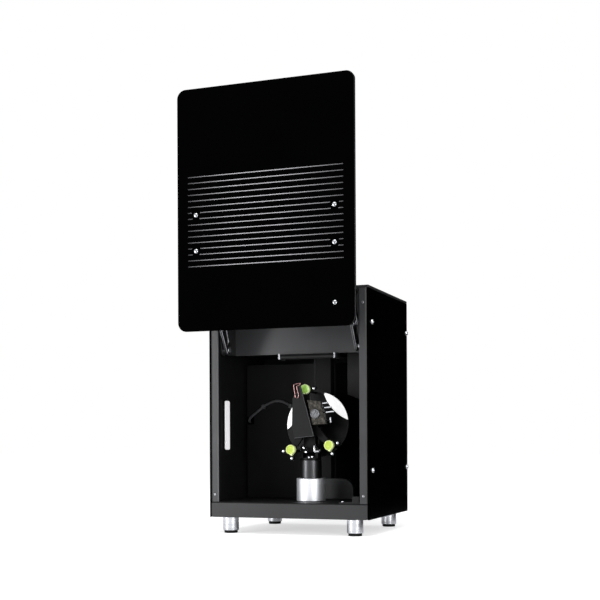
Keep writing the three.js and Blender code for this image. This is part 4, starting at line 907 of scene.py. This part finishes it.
# %% Enamel lines
stud_spots = [Vector((x, low.y, low.z + z)) for x in (-0.1745, 0.1745) for z in (0.1918, 0.2778)]
catch_spot = Vector((0.1745, low.y, low.z + 0.0537))
lines = Recipe(
    "enamel_lines", First=(-0.1955, 0, 0), Last=(0.1955, 0, 0), Steps=392, Lines=16, Start=(0, 0, 0),
    Rise=(0, 0, 0.01428), Width=0.0018, Depth=0.0003, Gap=0.012)
add = lines.add
row = add("MeshLine", {
    "Count": lines["Steps"], "Start Location": lines["First"], "Offset": lines["Last"]}, mode="END_POINTS")
stack = add("MeshLine", {
    "Count": lines["Lines"], "Start Location": lines["Start"], "Offset": lines["Rise"]}, mode="OFFSET")
grid = add("InstanceOnPoints", {"Points": stack, "Instance": row})
real = add("RealizeInstances", {"Geometry": grid})
near = add("Proximity", {0: lines["Geometry"]}, "Distance", target_element="POINTS")
close_by = add("Compare", {0: near, 1: lines["Gap"]}, family="FunctionNode", data_type="FLOAT", operation="LESS_THAN")
kept = add("DeleteGeometry", {"Geometry": real, "Selection": close_by}, domain="POINT")
level = add("SetCurveNormal", {"Curve": add("MeshToCurve", {"Mesh": kept})})
band = add("CurvePrimitiveQuadrilateral", {"Width": lines["Depth"], "Height": lines["Width"]})
lines.close(add("CurveToMesh", {"Curve": level, "Profile Curve": band, "Fill Caps": True}))
stripes = lines.run("door_lines", points_mesh("studs", stud_spots), "stripe_enamel", Start=(0, low.y, low.z + 0.1553))
print("lines measure", [round(size * 1000, 2) for size in stripes.dimensions], "mm")
settle(stripes, "door", "white_plastic")

# %% [markdown]
# Five domed studs show on the door. Four are bolts that go through panel, backing and bracket and end
# in a nut; the fifth holds the striker of the catch.

# %% Studs, nuts and striker
cap = [circle(3, 0), circle(5.82, 0), circle(6, 0.4)] + dome(6, 0.4, 3.6, 0.75, (0.2, 0.4, 0.6, 0.78, 0.92, 0.985))
nut = [circle(3, -20.6), hexagon(4.6, -20.6), hexagon(5, -20.2), hexagon(5, -16.0), hexagon(4.6, -15.6),
       circle(3, -15.6)]
stud = stacked("bracket_stud", nut + cap, None)
bolts = ["bracket_bolt_%d" % number for number in (1, 2, 3, 4)]
stand_for(fastened("door_studs", stud, stud_spots, FORWARD, "stud_steel"), *bolts)
catch = stacked("catch_stud", [circle(3, -12.4)] + cap, None)
settle(fastened("striker_stud", catch, [catch_spot], FORWARD, "stud_steel"), "door", "bright_steel")
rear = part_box("door_striker")[1].y
place = Matrix.Translation((catch_spot.x, rear - 0.0025, catch_spot.z))
stand_for(slab("striker_block", 8.5, 8.5, 1.5, 2.5, 0.4, place, "bright_steel", 4), "door_striker")
soft_copy("catch_plate", "matt_black", 0.0004)
peg = button_bolt("catch_screw", 3.0, 2.0, 1.1, 1.5, 2)
along_with(fastened("catch_plate_screw", peg, [mm(140, 8, 83.6)], UPWARD, "bright_steel"), "catch_plate")

# %% [markdown]
# ## Turntable
# An aluminium drum stands on the chamber floor, and a dark spindle turns on it. Both are lathe
# profiles.

# %% Turntable drum and spindle
axis = shifted(25, 104, 0)
drum_low, drum_high = (corner.z * 1000 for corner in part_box("turntable_base"))
barrel = [(9, drum_low)] + edge_profile(36.5, drum_low, drum_high, 1.2) + [(9, drum_high)]
stand_for(turned("turntable_drum", barrel, axis, "base_metal", 96), "turntable_base")
spin_low, spin_high = (corner.z * 1000 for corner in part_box("spindle"))
neck = drum_high + 0.3
post = [(8, spin_low), (8, neck)] + edge_profile(27.25, neck, spin_high, 0.9)
stand_for(turned("spindle_post", post, axis, "spindle_black", 96), "spindle")
print("drum is", round(drum_high - drum_low, 1), "mm high, spindle tops out at", round(spin_high, 1))

# %% [markdown]
# The tilt fork on top and the head it holds are milled and anodised black. The fork's pin, two small
# screws, a bent lock lever and two short catches are bright.

# %% Tilt fork, its pin and the lock lever
pin_y, pin_z, pin_reach, cheek_x = -0.0046, 0.210, 0.0078, 0.0237
repaint(soft_copy("tilt_fork", "anodised_black", 0.0003), "bright_steel", lambda face: (
    math.hypot(face.center.y - pin_y, face.center.z - pin_z) < pin_reach and abs(face.center.x - 0.025) > cheek_x))
soft_copy("tilt_head", "anodised_black", 0.0006)
small = button_bolt("fork_screw", 2.7, 1.0, 1.0, 1.4, 2)
spots = [mm(28.7, 78.2, 190.6), mm(36.9, 78.2, 191.8)]
along_with(fastened("fork_screws", small, spots, FORWARD, "bright_steel"), "tilt_fork")
for name, radius, steps, route in (
        ("lock_lever", 0.0032, 40, ((50, 100, 210), (48, 89, 218), (43.6, 79, 220.4), (44.6, 76, 213),
                                    (46.2, 75, 206.4), (50, 75, 205.9), (57.2, 75, 206.4))),
        ("lock_catch", 0.0039, 30, ((16, 100, 213), (13.6, 79, 215.4), (19.4, 75.8, 213.6))),
        ("lock_tooth", 0.0039, 30, ((18, 100, 206), (18.6, 79, 204.2), (25.2, 75.8, 204.2)))):
    along_with(wire(name, [mm(*spot) for spot in route], "bright_steel", Radius=radius, Steps=steps), "tilt_fork")

# %% [markdown]
# ## Model holder
# The holder leans back and rolls a little, so its pieces are drawn in a frame of their own. The disc
# behind carries two white plates: an arc along the rim, closed by a flatter one towards the middle.

# %% Holder frame, spider, disc and white plates
holder = Matrix.Translation((0.0275, -0.0046056, 0.2784)) @ rotated(-4, "X") @ rotated(-6, "Y")
backward = (holder.to_3x3() @ Vector((0, 1, 0))).normalized()


def held_at(x, y, z):
    return holder @ (Vector((x, y, z)) / 1000)


soft_copy("holder_spider", "anodised_black", 0.0003)
soft_copy("back_disc", "disc_black", 0.0006)


def lens_outline(first, last, reach=56.4, outer=83.1, steps=36):
    middle = math.radians((first + last) / 2)
    span = math.radians((last - first) / 2)
    chord, sagitta = outer * math.sin(span), outer * math.cos(span) - reach
    bend = (chord ** 2 + sagitta ** 2) / (2 * sagitta)
    facing, half = middle + math.pi, math.asin(chord / bend)
    x, y = polar(reach + bend, middle)
    rim = [polar(outer, middle - span + 2 * span * i / steps) for i in range(steps + 1)]
    inner = [polar(bend, facing - half + 2 * half * i / steps) for i in range(1, steps)]
    return rim + [(x + across, y + rise) for across, rise in inner]


for first, last, name in ((1.5, 73.5, "right"), (111.0, 183.0, "left")):
    rings = [[held_at(x, y, z) for x, z in lens_outline(first, last)] for y in (44.3, 45.5)]
    stand_for(stacked("white_plate_" + name, rings, "white_plate", 0.0003, 30), "white_segment_" + name)

# %% [markdown]
# Three lime knobs clamp the model plate. Each is a circle with a small pointer nose, stacked into a
# cap with a slightly hollow face. Every point also writes how deep inside the knob it lies.

# %% Knobs
knob_radius, knob_tip, spread = 12.4, 17.0, math.radians(24)
cap = ((0.95, -24.0), (1.0, -24.7), (1.0, -32.6), (0.985, -33.5), (0.94, -34.0), (0.80, -34.0), (0.74, -33.4),
       (0.45, -33.2), (0.15, -33.2))


def knob_outline(nose, scale, steps=56):
    turns = [nose + spread + (2 * math.pi - 2 * spread) * i / (steps - 1) for i in range(steps)]
    points = [polar(knob_radius * scale, angle) for angle in turns]
    tip = polar(knob_tip * scale, nose)
    left, right = points[-1], points[0]
    for share, corner in ((0.45, left), (0.85, left), (0.85, right), (0.45, right)):
        points.append((corner[0] + (tip[0] - corner[0]) * share, corner[1] + (tip[1] - corner[1]) * share))
    return points


knob_spots = [polar(83, math.radians(angle)) for angle in (90, 232, 308)]
for number, (kx, kz), nose, finish in zip(
        (1, 2, 3), knob_spots, (150, -85, -85), ("lime_painted_light", "lime_plastic", "lime_plastic")):
    rings = [[held_at(kx + x, y, kz + z) for x, z in knob_outline(math.radians(nose), scale)] for scale, y in cap]
    knob = stacked("lime_knob_%d" % number, rings, finish, 0.0, 60)
    centre = held_at(kx, -33, kz)
    depth = knob.data.attributes.new("depth", "FLOAT", "POINT")
    for point in knob.data.vertices:
        off = point.co - centre
        reach = (off - backward * off.dot(backward)).length * 1000
        depth.data[point.index].value = max(0.0, min(1.0, (knob_radius * 0.93 - reach) / 2.5))
    stand_for(knob, "clamp_knob_%d" % number)

# %% [markdown]
# Six adjusting screws sit beside the knobs, two at each. Their domed, polished heads are the small
# sparks in the photograph.

# %% Adjusting screws
screw_spots = []
for (kx, kz), angles in zip(knob_spots, ((0, 184), (184, 267), (284, 10))):
    for angle in angles:
        x, z = polar(22, math.radians(angle))
        screw_spots.append(held_at(kx + x, -23.6, kz + z))
neck = [circle(2, -3), circle(2, 0), circle(3.7, 0), circle(3.8, 3.2)]
head = stacked("adjusting_head", neck + dome(3.8, 3.2, 1.6, 0.7, (0.3, 0.55, 0.8, 0.95)), None)
facing = (holder.to_3x3() @ Matrix.Rotation(math.pi / 2, 3, "X")).to_euler()
settle(fastened("adjusting_screws", head, screw_spots, tuple(facing), "bright_steel"), "holder", "bright_steel")

# %% [markdown]
# In front stands a tapered graphite plate. Its right edge catches the light in the photograph, so it
# is a little wider and paler than the face.

# %% Tapered plate
moulded("plate_edge", grey(92), 0.45, 0.3, 1600, 2e-5, 0.05)
repaint(soft_copy("tapered_plate", "plate_graphite", 0.0009), "plate_edge",
        lambda face: 0.2 < abs(face.normal.dot(backward)) < 0.97 and face.normal.x > 0)

# %% [markdown]
# The hub block is milled to a crooked outline. Its round hub carries two ribs with a slot between them.

# %% Hub block and hub
block = holder @ moved(28.0, 0, 21.3)
corners = [(-22.25, 33.15), (-14.33, -32.22), (22.25, -33.15), (12.86, 25.86)]
rings = [[block @ (Vector((x, y, z)) / 1000) for x, z in corners] for y in (-40.0, -24.0)]
stand_for(stacked("hub_body", rings, "milled_bronze", 0.0012, 30), "hub_block")
hub_place = block @ moved(-3.1, -40, -4.9)
steel("hub_metal", 104, 0.42, 3.0)
steel("rib_metal", 120, 0.4, 3.0)
profile = [(10.4, -1), (12.4, -1), (12.4, 2.2), (11.9, 2.9), (10.8, 3.1), (10.0, 2.6), (9.4, 2.2), (5, 2.4), (0.5, 2.4)]
along_with(turned("round_hub", profile, hub_place @ rotated(90, "X"), "hub_metal", 72), "hub_block")
for number, offset in enumerate((-3.2, 3.2), 1):
    lay = hub_place @ rotated(-52, "Y") @ moved(0, -3.5, offset)
    along_with(slab("hub_rib_%d" % number, 7.4, 1.0, 0.8, 1.4, 0.3, lay, "rib_metal", 4), "hub_block")
print("hub and ribs stand on the block")

# %% [markdown]
# Three alloy bars and a tab stand out to the right of the block, each on a dark arm.

# %% Bars and tab beside the block
def block_piece(name, finish, x, y, z, half_width, *rest):
    along_with(slab(name, half_width, *rest, block @ moved(x, y, z), finish, 4), "hub_block")


root, arm_sizes, bar_sizes = 11.0, (1.3, 0.6, 4.4, 0.3), (1.5, 1.2, 6, 0.5)
for number, tip, rise, visible in ((1, 31.1, 19.7, 14.8), (2, 39.5, 8.1, 19.0), (3, 46.3, -3.8, 22.0)):
    middle, reach = (root + tip) / 2, (tip - root) / 2 - 0.6
    block_piece("dark_arm_%d" % number, "anodised_black", middle, -36.2, rise, reach, *arm_sizes)
    block_piece("alloy_bar_%d" % number, "light_alloy", tip - visible / 2, -37, rise, visible / 2, *bar_sizes)
block_piece("tab_arm", "anodised_black", 23.0, -36.2, -24.5, 12.0, *arm_sizes)
block_piece("alloy_tab", "light_alloy", 34.6, -37, -24.6, 1.7, 6.6, *bar_sizes[1:])
print("bars: 3, tabs: 1")

# %% [markdown]
# A bent copper wire lies on the tapered plate, swept along its route like the cable.

# %% Copper wire
spots = [(-21.6, 62), (-21.3, 69.4), (-22.9, 88), (-23.2, 92.2), (-22.2, 95.0), (-19.8, 96.2), (-12, 96.7),
         (-7.2, 97.2), (-5.6, 95.4), (-8.4, 92.2), (-13.2, 91.2), (-15.0, 88.6), (-12.6, 72), (-12.3, 65),
         (-13.6, 61.6), (-17.6, 60.6)]
route = [held_at(x, -48.9, z) for x, z in spots]
stand_for(wire("copper_hairpin", route, "copper_wire", Radius=0.0015, Sides=16), "hairpin_wire")

# %% [markdown]
# ## Behind and above the chamber
# The works stay inside closed sheet metal, and the back and bottom covers are thin sheets full of
# vents. Their CAD forms are right for that, so each node only gets a finish. The inlet and its rocker
# switch show at the back; the three contacts in the socket are brass.

# %% Works inside, covers, inlet and switch
as_they_are = {
    "projector": "matt_black", "control_board": "green_board", "power_supply": "zinc_sheet",
    "turntable_motor": "arm_steel", "back_cover": "cover_grey", "bottom_cover": "chamber_black"}
for node, finish in as_they_are.items():
    frame["nodes"][node].material_slots[0].material = finishes[finish]
socket_x, socket_z = 0.13, 0.151
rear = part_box("power_inlet")[1].y
repaint(soft_copy("power_inlet", "inlet_black"), "contact_brass", lambda face: (
    abs(face.center.x - socket_x) < 0.0095 and abs(face.center.z - socket_z) < 0.0035
    and rear - 0.0159 < face.center.y < rear - 0.001))
soft_copy("power_switch", "inlet_black", 0.0002, 1)

# %% [markdown]
# Last, every CAD node that still shows and has no finish of its own is listed.

# %% Nodes still bare, and the end
bare = [name for name, node in frame["nodes"].items() if not node.hide_render and name not in as_they_are]
print("nodes still bare:", bare)
bpy.context.scene.view_settings.view_transform = "Standard"
